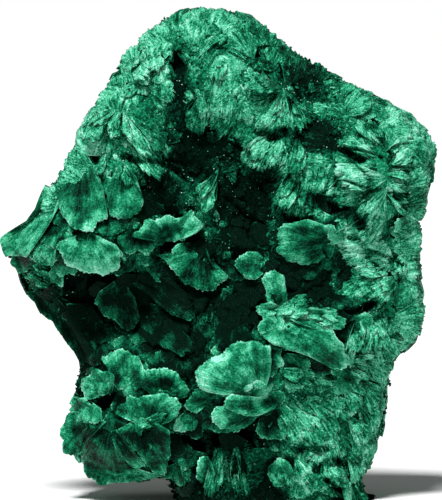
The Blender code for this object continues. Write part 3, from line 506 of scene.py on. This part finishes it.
def crack_depth(x, z):
    """How far the cracks go in at these places of the front view."""
    deepest = np.zeros(np.shape(x))
    for half_width, depth, places in CRACKS:
        for (x0, z0), (x1, z1) in zip(places, places[1:]):
            along = ((x - x0) * (x1 - x0) + (z - z0) * (z1 - z0)) / ((x1 - x0) ** 2 + (z1 - z0) ** 2)
            along = np.clip(along, 0, 1)
            away = np.hypot(x - x0 - along * (x1 - x0), z - z0 - along * (z1 - z0))
            deepest = np.maximum(deepest, depth * np.exp(-((away / half_width / CRACK_WIDENING) ** 4)))
    slope = math.radians(FISSURE_SLOPE)
    down = z * math.cos(slope) - x * math.sin(slope)
    course = np.stack([(x + 0.4 * z) / FISSURE_STRETCH, np.zeros(np.shape(x)), down], axis=-1).reshape(-1, 3)
    line = lumps(course, FISSURE_SPACING).reshape(np.shape(x))
    opening = 1.5 * lumps(course + 40, 2 * FISSURE_SPACING).reshape(np.shape(x)) + 0.5
    fissures = FISSURE_DEPTH * np.clip(opening, 0, 1) * np.exp(-((line / FISSURE_WIDTH) ** 2))
    return np.maximum(deepest, fissures)


def within(corners, x, z):
    """Whether these places of the front view are inside this outline."""
    inside = np.zeros(np.shape(x), bool)
    for (x0, z0), (x1, z1) in zip(corners, corners[1:] + corners[:1]):
        crossing = x < x0 + (z - z0) / (z1 - z0 or 1) * (x1 - x0)
        inside ^= ((z0 > z) != (z1 > z)) & crossing
    return inside


def beside_plate(x, z):
    """1 along the rims of the smooth plates, and 0 far from them."""
    places = np.stack([x, z], axis=-1)[..., None, :]
    nearest = np.full(np.shape(x), 9.0)
    for _, _, _, _, rim in PLATES:
        starts, steps = np.array(rim[:-1]), np.diff(rim, axis=0)
        along = np.clip(((places - starts) * steps).sum(axis=-1) / (steps**2).sum(axis=-1), 0, 1)
        away = np.linalg.norm(places - starts - along[..., None] * steps, axis=-1)
        nearest = np.minimum(nearest, away.min(axis=-1))
    return np.exp(-((nearest / GAP_WIDTH) ** 2))


def scattered(rng, spacing, tries):
    """Random places in the front view, none nearer to another than spacing."""
    kept = np.empty((0, 2))
    for place in rng.uniform((-40, 1), (40, 90), (tries, 2)):
        inside = np.hypot(place[0] - CENTRE[0], place[1] - CENTRE[1])
        angle = math.atan2(place[1] - CENTRE[1], place[0] - CENTRE[0])
        if inside > 0.9 * core_radius(angle) or (np.linalg.norm(kept - place, axis=1) < spacing).any():
            continue
        kept = np.vstack([kept, place])
    return kept


# Places for the fans. Each gives direction from the core's middle, heading, reach, spread, lift and tone.

def placed(fans):
    """The listed fans, from their tables."""
    for x, z, heading, reach, spread, lift, tone in fans:
        yield direction_in_front_of(x, z), heading_vector(heading), reach, spread, lift, 0.5 * tone


def lie_of_fans(x, z):
    """(heading, tone) at this place on the front, from the nearest of the listed fans."""
    hand = np.array(SPRAYS)
    headings = np.array([heading_vector(heading) for heading in hand[:, 2]])
    middles = hand[:, :2] + headings[:, [0, 2]] * hand[:, 3:4] * 0.5
    weight = 1 / (np.linalg.norm(middles - (x, z), axis=1) + 1) ** 3
    toward = (headings * weight[:, None]).sum(axis=0)
    return math.degrees(math.atan2(toward[2], toward[0])), float((hand[:, 6] * weight).sum() / weight.sum())


def on_plate(x, z):
    """Whether a smooth plate covers this place of the front view."""
    return any(within([root, *rim], x, z) for _, root, _, _, rim in PLATES)


def fill_fans(rng, spacing, reach, spread, lift):
    """Fans between the others, turned as the nearest of them are, and clear of plates and hollows."""
    for x, z in scattered(rng, spacing, FILL_TRIES):
        heading, tone = lie_of_fans(x, z)
        heading += rng.uniform(-FILL_SWAY, FILL_SWAY)
        long = reach * rng.uniform(0.7, 1.3)
        steep = lift * rng.uniform(0.8, 1.3)
        tone = 0.3 * tone + rng.normal(0, 0.3)
        if velvet(x, z) > HOLLOW or on_plate(x, z) or within(SATIN_PART, x, z):
            continue
        ahead = heading_vector(heading)
        for _ in range(3):
            tip = (x + ahead[0] * long, z + ahead[2] * long)
            if not on_plate(*tip) and velvet(*tip) < HOLLOW:
                yield direction_in_front_of(x, z), ahead, long, spread, steep, tone
                break
            long *= FILL_SHORTER


def petals(rng):
    """Smooth petals that fill the lower left between the plates: root, how proud, tone and rim."""
    for x, z in scattered(rng, PETAL_SPACING, FILL_TRIES):
        heading = lie_of_fans(x, z)[0] + rng.uniform(-PETAL_SWAY, PETAL_SWAY)
        long = PETAL_REACH * rng.uniform(0.6, 1.4)
        turns = np.linspace(-1, 1, PETAL_POINTS)
        lengths = long * (1 - PETAL_TAPER * np.abs(turns) ** 3) * rng.uniform(0.86, 1.06, PETAL_POINTS)
        angles = np.radians(heading + turns * PETAL_SPREAD * rng.uniform(0.7, 1.2))
        rim = list(zip(x + lengths * np.cos(angles), z + lengths * np.sin(angles)))
        ahead = angles[PETAL_POINTS // 2]
        middle = (float(x + 0.6 * long * np.cos(ahead)), float(z + 0.6 * long * np.sin(ahead)))
        proud = PETAL_PROUD * rng.uniform(0.5, 1.5)
        # The tone takes the front's painted shade and highlights at the petal's middle.
        tone = rng.normal(0, 0.3) + 1.1 * float(shade(*middle))
        grows = within(SATIN_PART, x, z) or within(MIDDLE_PART, x, z)
        if grows and crack_depth(*middle) < PETAL_CRACK:
            yield (x, z), proud, tone, rim


def tufts(rng, spacing, reach, spread, lift):
    """Short dark velvety tufts that line the hollows."""
    for x, z in scattered(rng, spacing, TUFT_TRIES):
        heading = rng.uniform(0, 360)
        long = reach * rng.uniform(0.6, 1.4)
        steep = lift * rng.uniform(0.5, 1.5)
        if velvet(x, z) > TUFT_EDGE and not on_plate(x, z):
            direction = direction_in_front_of(x, z)
            yield direction, heading_vector(heading), long, spread, steep, rng.normal(0.2, 0.3)


def rim_fans(rng):
    """Fans that scallop the outline, pointing away from the middle; none by the smooth left arm and foot."""
    for i, heading in enumerate(np.linspace(RIM_FROM, RIM_TO, RIM_COUNT)):
        turn = math.radians(heading)
        radius = float(core_radius(turn)) * RIM_PLACES[i % 3]
        place = (CENTRE[0] + radius * math.cos(turn), CENTRE[1] + radius * math.sin(turn))
        direction = direction_in_front_of(*place)
        toward = heading_vector(heading + rng.uniform(-20, 20))
        level = math.sqrt(1 - float(np.dot(core_normals(direction[None])[0], heading_vector(heading))) ** 2)
        reach = (float(radius_of(OUTLINE, turn) - radius) * rng.uniform(0.72, 1.06) + RIM_OVER) / level
        yield direction, toward, reach, RIM_SPREAD, RIM_LIFT, rng.uniform(-0.1, 0.3)


def back_fans(rng):
    """Fans spread evenly over the sides and back, all hanging down and outwards."""
    for i in range(BACK_COUNT):
        height = 1 - 2 * (i + 0.5) / BACK_COUNT
        turn = math.radians(i * GOLDEN_ANGLE)
        ring = math.sqrt(1 - height**2)
        direction = np.array([ring * math.cos(turn), ring * math.sin(turn), height])
        if direction[1] < BACK_FROM or direction[2] < BACK_LOWEST:
            continue
        sway = lumps(direction[None] * 10, 3.0)[0]
        toward = np.array([direction[0] + 1.2 * sway, 0.5, -1 + 1.6 * height + rng.uniform(-0.4, 0.4)])
        reach = BACK_REACH * rng.uniform(0.5, 1.15)
        spread = BACK_SPREAD * rng.uniform(0.7, 1.4)
        tone = 0.9 * lumps(direction[None] * 10 + 5, 2.4)[0] + rng.uniform(-0.3, 0.3)
        yield direction, toward, reach, spread, BACK_LIFT * rng.uniform(0.4, 1.1), tone


def parted(rng, place, count):
    """Which of about count uneven parts each place from -1 to 1 is in, and how far from its middle."""
    sway = 0.4 * np.sin(place * 4 + rng.uniform(0, TURN)) + 0.3 * np.sin(place * 11 + rng.uniform(0, TURN))
    course = (place + 1) / 2 * (count - 0.01) + sway + 0.75
    number = np.floor(course).astype(int)
    return number, np.abs(2 * (course - number) - 1)


def rounded(points, step):
    """Points about step apart along a smooth curve near these points."""
    points = np.array(points, float)
    far = np.concatenate([[0], np.cumsum(np.linalg.norm(np.diff(points, axis=0), axis=1))])
    places = np.linspace(0, far[-1], max(9, int(far[-1] / step)))
    course = np.stack([np.interp(places, far, points[:, 0]), np.interp(places, far, points[:, 1])], axis=1)
    for _ in range(3):
        course[1:-1] = (course[:-2] + 2 * course[1:-1] + course[2:]) / 4
    return course


def fine_threads(sideways, outward, own):
    """Fine threads that run along the fibres, above and below 0."""
    seed = np.full(len(sideways), own * 60)
    course = np.stack([sideways / THREAD_WIDTH, outward / THREAD_LENGTH, seed], axis=1)
    return 0.6 * lumps(course, 1.0) + 0.6 * lumps(course * 0.45, 1.0)


class Blades:
    """Gathers blades, and then makes one mesh of them."""

    def __init__(self):
        self.points, self.faces, self.marks, self.count = [], [], [], 0

    def add(self, rng, fan, weave, cracked=False):
        """A fan of fibres that grows out of the core; a cracked one also sinks into the cracks and is painted
        darker in them and in the gaps beside the plates, as shade.
        """
        direction, toward, reach, spread, lift, tone = fan
        foot = core_points(direction[None])[0]
        normal = core_normals(direction[None])[0]
        flat = unit(toward - normal * np.dot(toward, normal))
        across = np.cross(normal, flat)
        spread = math.radians(spread)
        arc = reach * spread
        columns = max(7, int(arc / weave.fibre))
        rings = max(5, int(reach / weave.ring))
        place, share = np.meshgrid(np.linspace(-1, 1, columns), np.linspace(ROOT_SHARE, 1, rings))
        place, share = place.ravel(), share.ravel()
        own = rng.uniform(0, 1)

        bundles = max(2, round(arc / weave.bundle))
        bundle, from_bundle = parted(rng, place, bundles)
        lobes = max(1, round(arc / weave.lobe))
        lobe, from_lobe = parted(rng, place, lobes)
        cut = rng.uniform(1 - weave.ragged, 1, bundles + 3)[bundle] * (1 - weave.notch * from_bundle**3)
        cut *= rng.uniform(1 - weave.lobing, 1, lobes + 3)[lobe] * (1 - weave.lobing * from_lobe**3)
        cut += np.tile(rng.uniform(-TIP_JITTER, TIP_JITTER, columns), rings) * weave.ragged
        cut -= SHOULDER * np.abs(place) ** 3
        length = share * (1 + (cut - 1) * share**2)
        sideways, outward = place * arc / 2, reach * share
        thread = fine_threads(sideways, outward, own)
        proud = rng.uniform(-1, 1, bundles + 3)[bundle]
        shine = rng.uniform(-BUNDLE_SHINE, BUNDLE_SHINE, bundles + 3)[bundle]
        ribs = weave.ridge * (1 - from_bundle**2 + proud) + weave.ridge * LOBE_RIDGE * (1 - from_lobe**2)
        ribs += weave.wave * np.sin(place * 3 + rng.uniform(0, TURN)) * share
        ribs = ribs * share + weave.thread * thread * share**0.5

        turn = place * spread / 2 + rng.uniform(-CURL, CURL) * (share - 0.4)
        along = (reach * length * np.cos(turn))[:, None]
        aside = (reach * length * np.sin(turn))[:, None]
        droop = math.sin(math.radians(lift)) - ARCH * share - 2 * ARCH * turn**2
        rise = reach * share * droop - ROOT_DEPTH + ribs - ROLL * share**8
        level = foot + flat * along + across * aside
        body = (1 - weave.drape) * level + weave.drape * dropped_on_core(level)
        rise += SPRAY_LUMPS * lumps(body, SPRAY_LUMP_SIZE) * share
        top = kept_in_outline(body + normal * rise[:, None])
        if cracked:
            top[:, 1] += crack_depth(top[:, 0], top[:, 2])
        if direction[1] < 0:
            middle = foot + flat * reach * 0.5
            # The front's tone, with its painted shade and highlights.
            tone = tone + 0.5 * shade(top[:, 0], top[:, 2]) + 0.5 * shade(middle[0], middle[2])
            tone = tone + MOTTLE * lumps(middle[None], MOTTLE_SIZE)[0]
            if cracked:
                # Painted shade: darker in the cracks and in the gaps beside the plates' rims.
                tone = tone - CRACK_SHADE * crack_depth(top[:, 0], top[:, 2])
                tone = tone - GAP_SHADE * beside_plate(top[:, 0], top[:, 2])
        crest = 0.2 * (1 - from_bundle**2) + 0.8 * (0.5 + 0.5 * thread)
        rim = np.minimum((1 - share) * reach, (1 - np.abs(place)) * arc / 2)
        marks = [share, sideways, outward, tone + shine, crest, np.full(len(share), own), rim]
        self._close(top, normal * weave.edge + flat * 0.2, np.stack(marks, axis=1), rings, columns)

    def add_plate(self, rng, root, proud, tone, rim, under=False):
        """A smooth plate whose fibres run from root to the rim's points, as seen from the front."""
        course = rounded(rim, PLATE_FIBRE)
        columns = len(course)
        reach = float(np.linalg.norm(course - root, axis=1).mean())
        rings = max(6, int(reach / PLATE_RING))
        place, share = np.meshgrid(np.linspace(-1, 1, columns), np.linspace(ROOT_SHARE, 1, rings))
        place, share = place.ravel(), share.ravel()
        own = rng.uniform(0, 1)
        arc = columns * PLATE_FIBRE
        ragged = rng.uniform(-1, 1, columns) * PLATE_RAGGED / reach
        scallops = PLATE_SCALLOPS * lumps(np.append(course, np.zeros((columns, 1)), axis=1), 1.5)
        length = share * (1 + np.tile(ragged + scallops / reach, rings) * share**2)
        ends = np.tile(course, (rings, 1))
        x = root[0] + (ends[:, 0] - root[0]) * length
        z = root[1] + (ends[:, 1] - root[1]) * length
        sideways, outward = place * arc / 2, np.linalg.norm(ends - root, axis=1) * share
        thread = fine_threads(sideways, outward, own)
        rise = proud * np.sin(share * PLATE_CROWN) ** PLATE_RISE - PLATE_SIDES * proud * place**4 * share
        rise -= ROOT_DEPTH * (1 - share)
        wave = PLATE_WAVE * np.sin(place * PLATE_WAVES + rng.uniform(0, TURN)) * share
        rise += wave + PLATE_THREAD * thread * share
        rise -= PLATE_ROLL * share**12
        top = np.stack([x, front_surface(x, z), z], axis=-1)
        coarse, small = (lumps(top, size) for size in PLATE_LUMP_SIZES)
        rise += PLATE_LUMPS * coarse + 0.4 * PLATE_LUMPS * small
        top[:, 1] -= rise
        top = kept_in_outline(top)
        # Painted shade and light: darker toward the sunken root and lighter toward the raised rim.
        tone = tone + 0.4 * (share - 0.6)
        if under:
            # Painted shade: darker in the gaps beside the plates' rims.
            tone = tone - GAP_SHADE * beside_plate(x, z)
        edge = np.minimum((1 - share) * reach, (1 - np.abs(place)) * arc / 2 * share)
        crest = 0.5 + 0.5 * thread
        marks = [share, sideways, outward, tone, crest, np.full(len(share), own), edge]
        marks = np.stack([mark + np.zeros(len(share)) for mark in marks], axis=1)
        self._close(top, np.array((0, -proud - 0.6, 0)), marks, rings, columns)

    def _close(self, top, thickness, marks, rings, columns):
        """Adds a grid of points as the top of a closed blade of this thickness."""
        ends = np.concatenate([np.arange(columns), np.arange(columns) + (rings - 1) * columns])
        under = kept_in_outline(top[ends] - thickness)
        start = self.count
        grid = np.arange(rings * columns).reshape(rings, columns) + start
        low = np.arange(2 * columns).reshape(2, columns) + start + rings * columns
        self._strip(grid[:-1, :-1], grid[1:, :-1], grid[1:, 1:], grid[:-1, 1:])
        self._strip(grid[-1, :-1], low[1, :-1], low[1, 1:], grid[-1, 1:])
        self._strip(low[0, :-1], grid[0, :-1], grid[0, 1:], low[0, 1:])
        self._strip(low[1, :-1], low[0, :-1], low[0, 1:], low[1, 1:])
        self.faces.append([*grid[:, 0][::-1], low[0, 0], low[1, 0]][::-1])
        self.faces.append([*grid[:, -1], low[1, -1], low[0, -1]][::-1])
        self.points += [top, under]
        beneath = marks[ends]
        # Painted shade on the underside, which gets no painted rim highlight.
        beneath[:, TONE] -= UNDERSIDE_SHADE
        beneath[:, RIM] += UNDERSIDE_RIM
        self.marks += [marks, beneath]
        self.count += len(top) + len(under)

    def _strip(self, a, b, c, d):
        self.faces += np.stack([a.ravel(), b.ravel(), c.ravel(), d.ravel()], axis=1).tolist()

    def piece(self, name):
        return mesh_piece(name, np.concatenate(self.points), self.faces, np.concatenate(self.marks))


def mesh_piece(name, points, faces, marks):
    """A piece of the scene from points in millimetres, with the marks that the finishes read."""
    mesh = bpy.data.meshes.new(name)
    mesh.from_pydata(((points + SHIFT) * MM).tolist(), [], faces)
    for i, mark in enumerate(MARKS):
        layer = mesh.attributes.new(mark, "FLOAT", "POINT")
        layer.data.foreach_set("value", np.ascontiguousarray(marks[:, i], np.float32))
    mesh.shade_smooth()
    piece = bpy.data.objects.new(name, mesh)
    bpy.context.scene.collection.objects.link(piece)
    return piece


def crust(rng):
    """The mass behind the fans, grainy with tiny crystals, flat underneath."""
    bm = bmesh.new()
    bmesh.ops.create_icosphere(bm, subdivisions=CRUST_DETAIL, radius=1)
    directions = unit([vert.co for vert in bm.verts])
    points = core_points(directions)
    normals = core_normals(directions)
    grain = sum(strength * lumps(points, size) for strength, size in CRUST_GRAINS)
    points += normals * (grain - 0.2)[:, None]
    cracks = np.where(points[:, 1] < 0, crack_depth(points[:, 0], points[:, 2]), 0)
    gaps = np.where(points[:, 1] < 0, beside_plate(points[:, 0], points[:, 2]), 0)
    points[:, 1] += cracks + GAP_DEPTH * gaps
    points[:, 2] = np.maximum(points[:, 2], 0)
    faces = [[vert.index for vert in face.verts] for face in bm.faces]
    bm.free()
    marks = np.zeros((len(points), len(MARKS)))
    # The reach mark holds the grain's height, so the crust is painted lighter on its bumps and darker in its
    # dips.
    marks[:, REACH] = 0.5 + grain
    # The front's tone, with its painted shade and highlights; the back's is even.
    marks[:, TONE] = np.where(points[:, 1] < 0, shade(points[:, 0], points[:, 2]), -0.3)
    # Painted shade: darker in the cracks and in the gaps beside the plates' rims.
    marks[:, TONE] -= cracks + GAP_SHADE * gaps
    return mesh_piece("velvet_crust", points, faces, marks), grit(rng, points, marks[:, TONE])


def grit(rng, ground, shades):
    """Tiny crystals on the ground's points, mostly in the hollows; most are dark, taking the ground's tone
    with its painted shade, and a few are painted pale as glints.
    """
    x, y, z = ground.T
    chance = np.where(y < 0, np.maximum(velvet(x, z), GRIT_ELSEWHERE) * (z > 0.5), 0)
    chosen = rng.choice(len(ground), GRIT_COUNT, replace=False, p=chance / chance.sum())
    corners = np.concatenate([np.eye(3), -np.eye(3)])
    sides = [(0, 1, 2), (1, 3, 2), (3, 4, 2), (4, 0, 2), (1, 0, 5), (3, 1, 5), (4, 3, 5), (0, 4, 5)]
    points, faces, marks = [], [], []
    for i, middle in enumerate(chosen):
        spin, _ = np.linalg.qr(rng.normal(size=(3, 3)))
        spin *= np.linalg.det(spin)
        glinting = rng.uniform() < GLINT_GRIT_SHARE
        size = rng.uniform(*(GLINT_GRIT_SIZE if glinting else GRIT_SIZE)) * rng.uniform(0.7, 1.3, 3)
        points.append(ground[middle] + rng.uniform(-GRIT_SCATTER, GRIT_SCATTER, 3) + (corners * size) @ spin)
        faces += [tuple(6 * i + corner for corner in side) for side in sides]
        # A few crystals are painted pale as glints; the rest take the ground's tone with its painted shade.
        tone = shades[middle] * 0.7 + rng.normal(0, 0.5) + glinting * rng.uniform(*GLINT_GRIT_TONE)
        marks.append(np.tile((0.5, 0, 0, tone, 0.5, 0, 1), (6, 1)))
    points = np.concatenate(points)
    points[:, 2] = np.maximum(points[:, 2], 0)
    return mesh_piece("hollow_grit", points, faces, np.concatenate(marks))


class Wire:
    """A node's output that takes part in Python arithmetic, through Math nodes."""

    def __init__(self, paint, socket):
        self.paint, self.socket = paint, socket

    def math(self, operation, *values):
        return self.paint.node("ShaderNodeMath", {"operation": operation}, dict(enumerate(values)))

    def __add__(self, other):
        return self.math("ADD", self, other)

    def __sub__(self, other):
        return self.math("SUBTRACT", self, other)

    def __rsub__(self, other):
        return self.math("SUBTRACT", other, self)

    def __mul__(self, other):
        return self.math("MULTIPLY", self, other)

    __radd__, __rmul__ = __add__, __mul__

    def smooth(self, low, high):
        """0 below low, 1 above high, and smooth between."""
        sockets = {"Value": self, "From Min": low, "From Max": high}
        return self.paint.node("ShaderNodeMapRange", {"interpolation_type": "SMOOTHSTEP"}, sockets)


class Paint:
    """A material or world while its nodes are being added."""

    def __init__(self, owner):
        self.owner = owner
        owner.use_nodes = True
        self.tree = owner.node_tree
        self.tree.nodes.clear()

    def node(self, kind, settings, sockets, output=0):
        """A node of this kind: its settings are set first, then the values or links of its sockets."""
        made = self.tree.nodes.new(kind)
        for key, value in settings.items():
            setattr(made, key, value)
        for key, value in sockets.items():
            if isinstance(value, Wire):
                self.tree.links.new(value.socket, made.inputs[key])
            else:
                made.inputs[key].default_value = value
        return Wire(self, made.outputs[output] if len(made.outputs) else None)

    def mark(self, name):
        return self.node("ShaderNodeAttribute", {"attribute_name": name}, {}, "Fac")

    def mix(self, factor, first, second):
        settings = {"data_type": "RGBA", "clamp_factor": True}
        return self.node("ShaderNodeMix", settings, {0: factor, 6: first, 7: second}, 2)

    def tones(self, light, darkest, steps):
        """The darkest colour, turning into each step's as light goes from that step's low to its high."""
        shown = darkest
        for low, high, step in steps:
            shown = self.mix(light.smooth(low, high), shown, step)
        return shown

    def bump(self, strength, distance, height):
        sockets = {"Strength": strength, "Distance": distance, "Height": height}
        return self.node("ShaderNodeBump", {}, sockets)

    def noise(self, vector, scale, detail=2.0):
        return self.node("ShaderNodeTexNoise", {}, {"Vector": vector, "Scale": scale, "Detail": detail})

    def surface(self, sockets):
        shader = self.node("ShaderNodeBsdfPrincipled", {}, sockets)
        self.node("ShaderNodeOutputMaterial", {}, {"Surface": shader})
        return self.owner


def colour(red, green, blue):
    return (red, green, blue, 1.0)


NIGHT_GREEN = colour(0.0004, 0.006, 0.003)
DEEP_GREEN = colour(0.002, 0.055, 0.026)
EMERALD = colour(0.006, 0.190, 0.085)
MINT = colour(0.075, 0.480, 0.270)
SILVER = colour(0.320, 0.800, 0.600)
# The pale of the painted glints on the grit.
GLINT_PALE = colour(0.360, 0.680, 0.550)
GREEN_GLOSS = colour(0.35, 1.0, 0.75)
# The palest steps show mostly where painted highlights, sheen and glints raise the light.
# From dark to pale: light where a colour starts to show, light where it is full, and the colour.
FIBRE_TONES = [(-0.75, -0.25, DEEP_GREEN), (-0.35, 0.30, EMERALD), (0.15, 0.75, MINT), (0.70, 1.30, SILVER)]
CRUST_TONES = [(-0.70, -0.10, DEEP_GREEN), (-0.10, 0.35, EMERALD), (0.40, 0.90, MINT), (1.00, 1.30, GLINT_PALE)]
FIBRE_BUMP, CRUST_BUMP = (0.8, 0.0004), (1.0, 0.0006)
FIBRE_GLOSS, CRUST_GLOSS = 0.07, 0.05
# Noise over the stone, in lumps a metre.
SPECKS, PATCHES, PORES, GLINTS = 3000.0, 300.0, 1500.0, 3300.0
CRUST_SPECKS, CRUST_PATCHES = 2200.0, 260.0


def fibrous(name, crests, streaks, threads, grain, pores, patches, glints, shift, rim_highlight, roughness):
    """Fibres that run from each fan's root to its rim: deep green grooves, mint crests lit by a painted
    sheen, a thin painted highlight along the rim, and painted glints.
    """
    paint = Paint(bpy.data.materials.new(name))
    reach, across, along = paint.mark("reach"), paint.mark("across"), paint.mark("along")
    own = paint.mark("own")
    wide = paint.node("ShaderNodeCombineXYZ", {}, {0: across * 1.1, 1: along * 0.22, 2: own * 40})
    fine = paint.node("ShaderNodeCombineXYZ", {}, {0: across * 3.2, 1: along * 0.7, 2: own * 90})
    place = paint.node("ShaderNodeTexCoord", {}, {}, "Object")
    streak = paint.noise(wide, 1.0).smooth(0.3, 0.7)
    thread = paint.noise(fine, 1.0).smooth(0.33, 0.67)
    speck = paint.noise(place, SPECKS).smooth(0.35, 0.65)
    patch = paint.noise(place, PATCHES).smooth(0.3, 0.7)
    pore = paint.noise(place, PORES).smooth(0.28, 0.42)
    glint = paint.noise(place, GLINTS, 1.0).smooth(0.67, 0.76)
    # Painted light and shade: darker toward each fan's root in the crease under its neighbours and lighter
    # toward its rim, the tone mark's painted shade and highlights, and crests lighter as painted sheen on the
    # raised threads.
    light = shift + 0.15 * reach + paint.mark("tone") * 0.6 + crests * (paint.mark("crest") - 0.5)
    light = light + streaks * (streak - 0.5) + threads * (thread - 0.5) + grain * (speck - 0.5)
    # The glints add painted highlights in sparse bright specks.
    light = light + patches * (patch - 0.5) - pores * (1 - pore) + glints * glint
    rim = paint.mark("rim")
    # A painted highlight along the rim: a thin bright line and a wider lighter band.
    light = light + rim_highlight * (1 - rim.smooth(0.02, 0.3)) * (0.3 + 1.2 * patch * speck)
    light = light + 0.6 * rim_highlight * (1 - rim.smooth(0.0, 2.4))
    shown = paint.tones(light, NIGHT_GREEN, FIBRE_TONES)
    height = 0.3 * streak + 0.3 * thread + 0.4 * speck + 0.4 * pore
    bump = paint.bump(*FIBRE_BUMP, height)
    return paint.surface({
        "Base Color": shown, "Roughness": roughness - 0.2 * thread, "Normal": bump,
        "Specular IOR Level": FIBRE_GLOSS, "Specular Tint": GREEN_GLOSS,
    })


def dark_velvet():
    """The crust of tiny crystals between the fans: grainy green, nearly black in the hollows, partly the
    velvet's own colour and partly painted shade.
    """
    paint = Paint(bpy.data.materials.new("dark_velvet"))
    place = paint.node("ShaderNodeTexCoord", {}, {}, "Object")
    grains = paint.noise(place, CRUST_SPECKS, 3.0)
    patches = paint.noise(place, CRUST_PATCHES).smooth(0.3, 0.7)
    light = paint.mark("tone") * 0.6 + 0.3 * patches + 2.2 * (grains - 0.5)
    # Painted light and shade: lighter on the grain's bumps and darker in its dips.
    light = light + 0.5 * (paint.mark("reach") - 0.5)
    shown = paint.tones(light, NIGHT_GREEN, CRUST_TONES)
    bump = paint.bump(*CRUST_BUMP, grains)
    return paint.surface({
        "Base Color": shown, "Roughness": 0.8, "Normal": bump,
        "Specular IOR Level": CRUST_GLOSS, "Specular Tint": GREEN_GLOSS,
    })


def specimen():
    """All pieces of the specimen, on its one body."""
    rng = np.random.default_rng(SEED)
    velvet = dark_velvet()
    fibres = fibrous("silky_fibres", crests=0.9, streaks=0.45, threads=0.55, grain=0.45, pores=0.22,
                     patches=0.60, glints=0.9, shift=0.14, rim_highlight=0.2, roughness=0.6)
    satin = fibrous("satin_petals", crests=0.15, streaks=0.38, threads=0.15, grain=0.35, pores=0.10,
                    patches=0.95, glints=0.5, shift=-0.38, rim_highlight=0.6, roughness=0.5)
    body, crystals = crust(rng)
    body.data.materials.append(velvet)
    crystals.data.materials.append(velvet)
    groups = [
        ("satin_plates", PLATES, None, satin, False),
        ("satin_petals", petals(rng), None, satin, True),
        ("hand_sprays", placed(SPRAYS), SPRAY, fibres, True),
        ("broad_fill", fill_fans(rng, *BROAD_FILL), SPRAY, fibres, True),
        ("small_fill", fill_fans(rng, *SMALL_FILL), SPRAY, fibres, True),
        ("hollow_tufts", tufts(rng, *TUFTS), TUFT, fibres, True),
        ("rim_sprays", rim_fans(rng), RIM_SPRAY, fibres, False),
        ("back_sprays", back_fans(rng), BACK_SPRAY, fibres, False),
    ]
    made = [body, crystals]
    for name, fans, weave, finish, cracked in groups:
        blades = Blades()
        for fan in fans:
            if weave is None:
                blades.add_plate(rng, *fan[-4:], under=cracked)
                continue
            blades.add(rng, fan, weave, cracked)
            if name == "hand_sprays":
                direction, toward, reach, spread, lift, tone = fan
                reach *= rng.uniform(0.6, 0.8)
                upper = (direction, toward, reach, spread * 0.9, lift + 7, tone + 0.1)
                blades.add(rng, upper, weave, cracked)
        piece = blades.piece(name)
        piece.data.materials.append(finish)
        made.append(piece)
    for piece in made:
        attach(piece, "root")
    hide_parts("malachite")
    return made


# Studio: camera at the photograph's angle, soft light from above the front, pale floor.
PICTURE_PIXELS = (442, 500)
PICTURE_HEIGHT = 90.54
PICTURE_MIDDLE = (-0.3, 44.8)
CAMERA_DISTANCE = 900.0
CAMERA_ELEVATION = 2.0
SENSOR = 36.0
KEY_STRENGTH, KEY_WIDTH, KEY_HEIGHT, KEY_SIDE = 4.9, 14.0, 54.0, -16.0
WORLD_STRENGTH = 0.15
FLOOR_PALE, FLOOR_SIZE, FLOOR_DROP = 0.88, 8.0, 0.0002


def camera():
    """A long lens that looks slightly down at the front, as in the photograph."""
    data = bpy.data.cameras.new("camera")
    made = bpy.data.objects.new("camera", data)
    bpy.context.scene.collection.objects.link(made)
    data.sensor_fit = "HORIZONTAL"
    data.sensor_width = SENSOR
    data.lens = SENSOR * CAMERA_DISTANCE / (PICTURE_HEIGHT * PICTURE_PIXELS[0] / PICTURE_PIXELS[1])
    data.clip_start, data.clip_end = 0.05, 20.0
    tilt = math.radians(CAMERA_ELEVATION)
    made.location = (
        PICTURE_MIDDLE[0] * MM,
        -CAMERA_DISTANCE * math.cos(tilt) * MM,
        (PICTURE_MIDDLE[1] + CAMERA_DISTANCE * math.sin(tilt)) * MM,
    )
    made.rotation_euler = (math.radians(90) - tilt, 0, 0)
    bpy.context.scene.camera = made


def studio():
    """Camera, soft key light, dim sky that the camera sees as white, and pale floor."""
    camera()
    scene = bpy.context.scene
    scene.view_settings.view_transform = "Standard"
    scene.view_settings.look = "None"
    scene.world = bpy.data.worlds.new("studio")
    sky = Paint(scene.world)
    seen = sky.node("ShaderNodeLightPath", {}, {}, "Is Camera Ray")
    level = sky.node("ShaderNodeMapRange", {}, {"Value": seen, "To Min": WORLD_STRENGTH, "To Max": 1.0})
    back = sky.node("ShaderNodeBackground", {}, {"Color": colour(1, 1, 1), "Strength": level})
    sky.node("ShaderNodeOutputWorld", {}, {"Surface": back})
    key = bpy.data.lights.new("key", "SUN")
    key.energy, key.angle = KEY_STRENGTH, math.radians(KEY_WIDTH)
    lamp = bpy.data.objects.new("key", key)
    scene.collection.objects.link(lamp)
    lamp.rotation_euler = (math.radians(90 - KEY_HEIGHT), 0, math.radians(KEY_SIDE))
    bpy.ops.mesh.primitive_plane_add(size=FLOOR_SIZE, location=(0, 0, -FLOOR_DROP))
    floor = bpy.context.object
    floor.name = "floor"
    matt = Paint(bpy.data.materials.new("pale_floor"))
    pale = colour(FLOOR_PALE, FLOOR_PALE, FLOOR_PALE)
    floor.data.materials.append(matt.surface({"Base Color": pale, "Roughness": 0.9}))
    floor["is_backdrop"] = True


specimen()
studio()

boxes = {"cad": cad_box, "visual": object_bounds()}
{name: [[float(v) for v in corner] for corner in box] for name, box in boxes.items()}
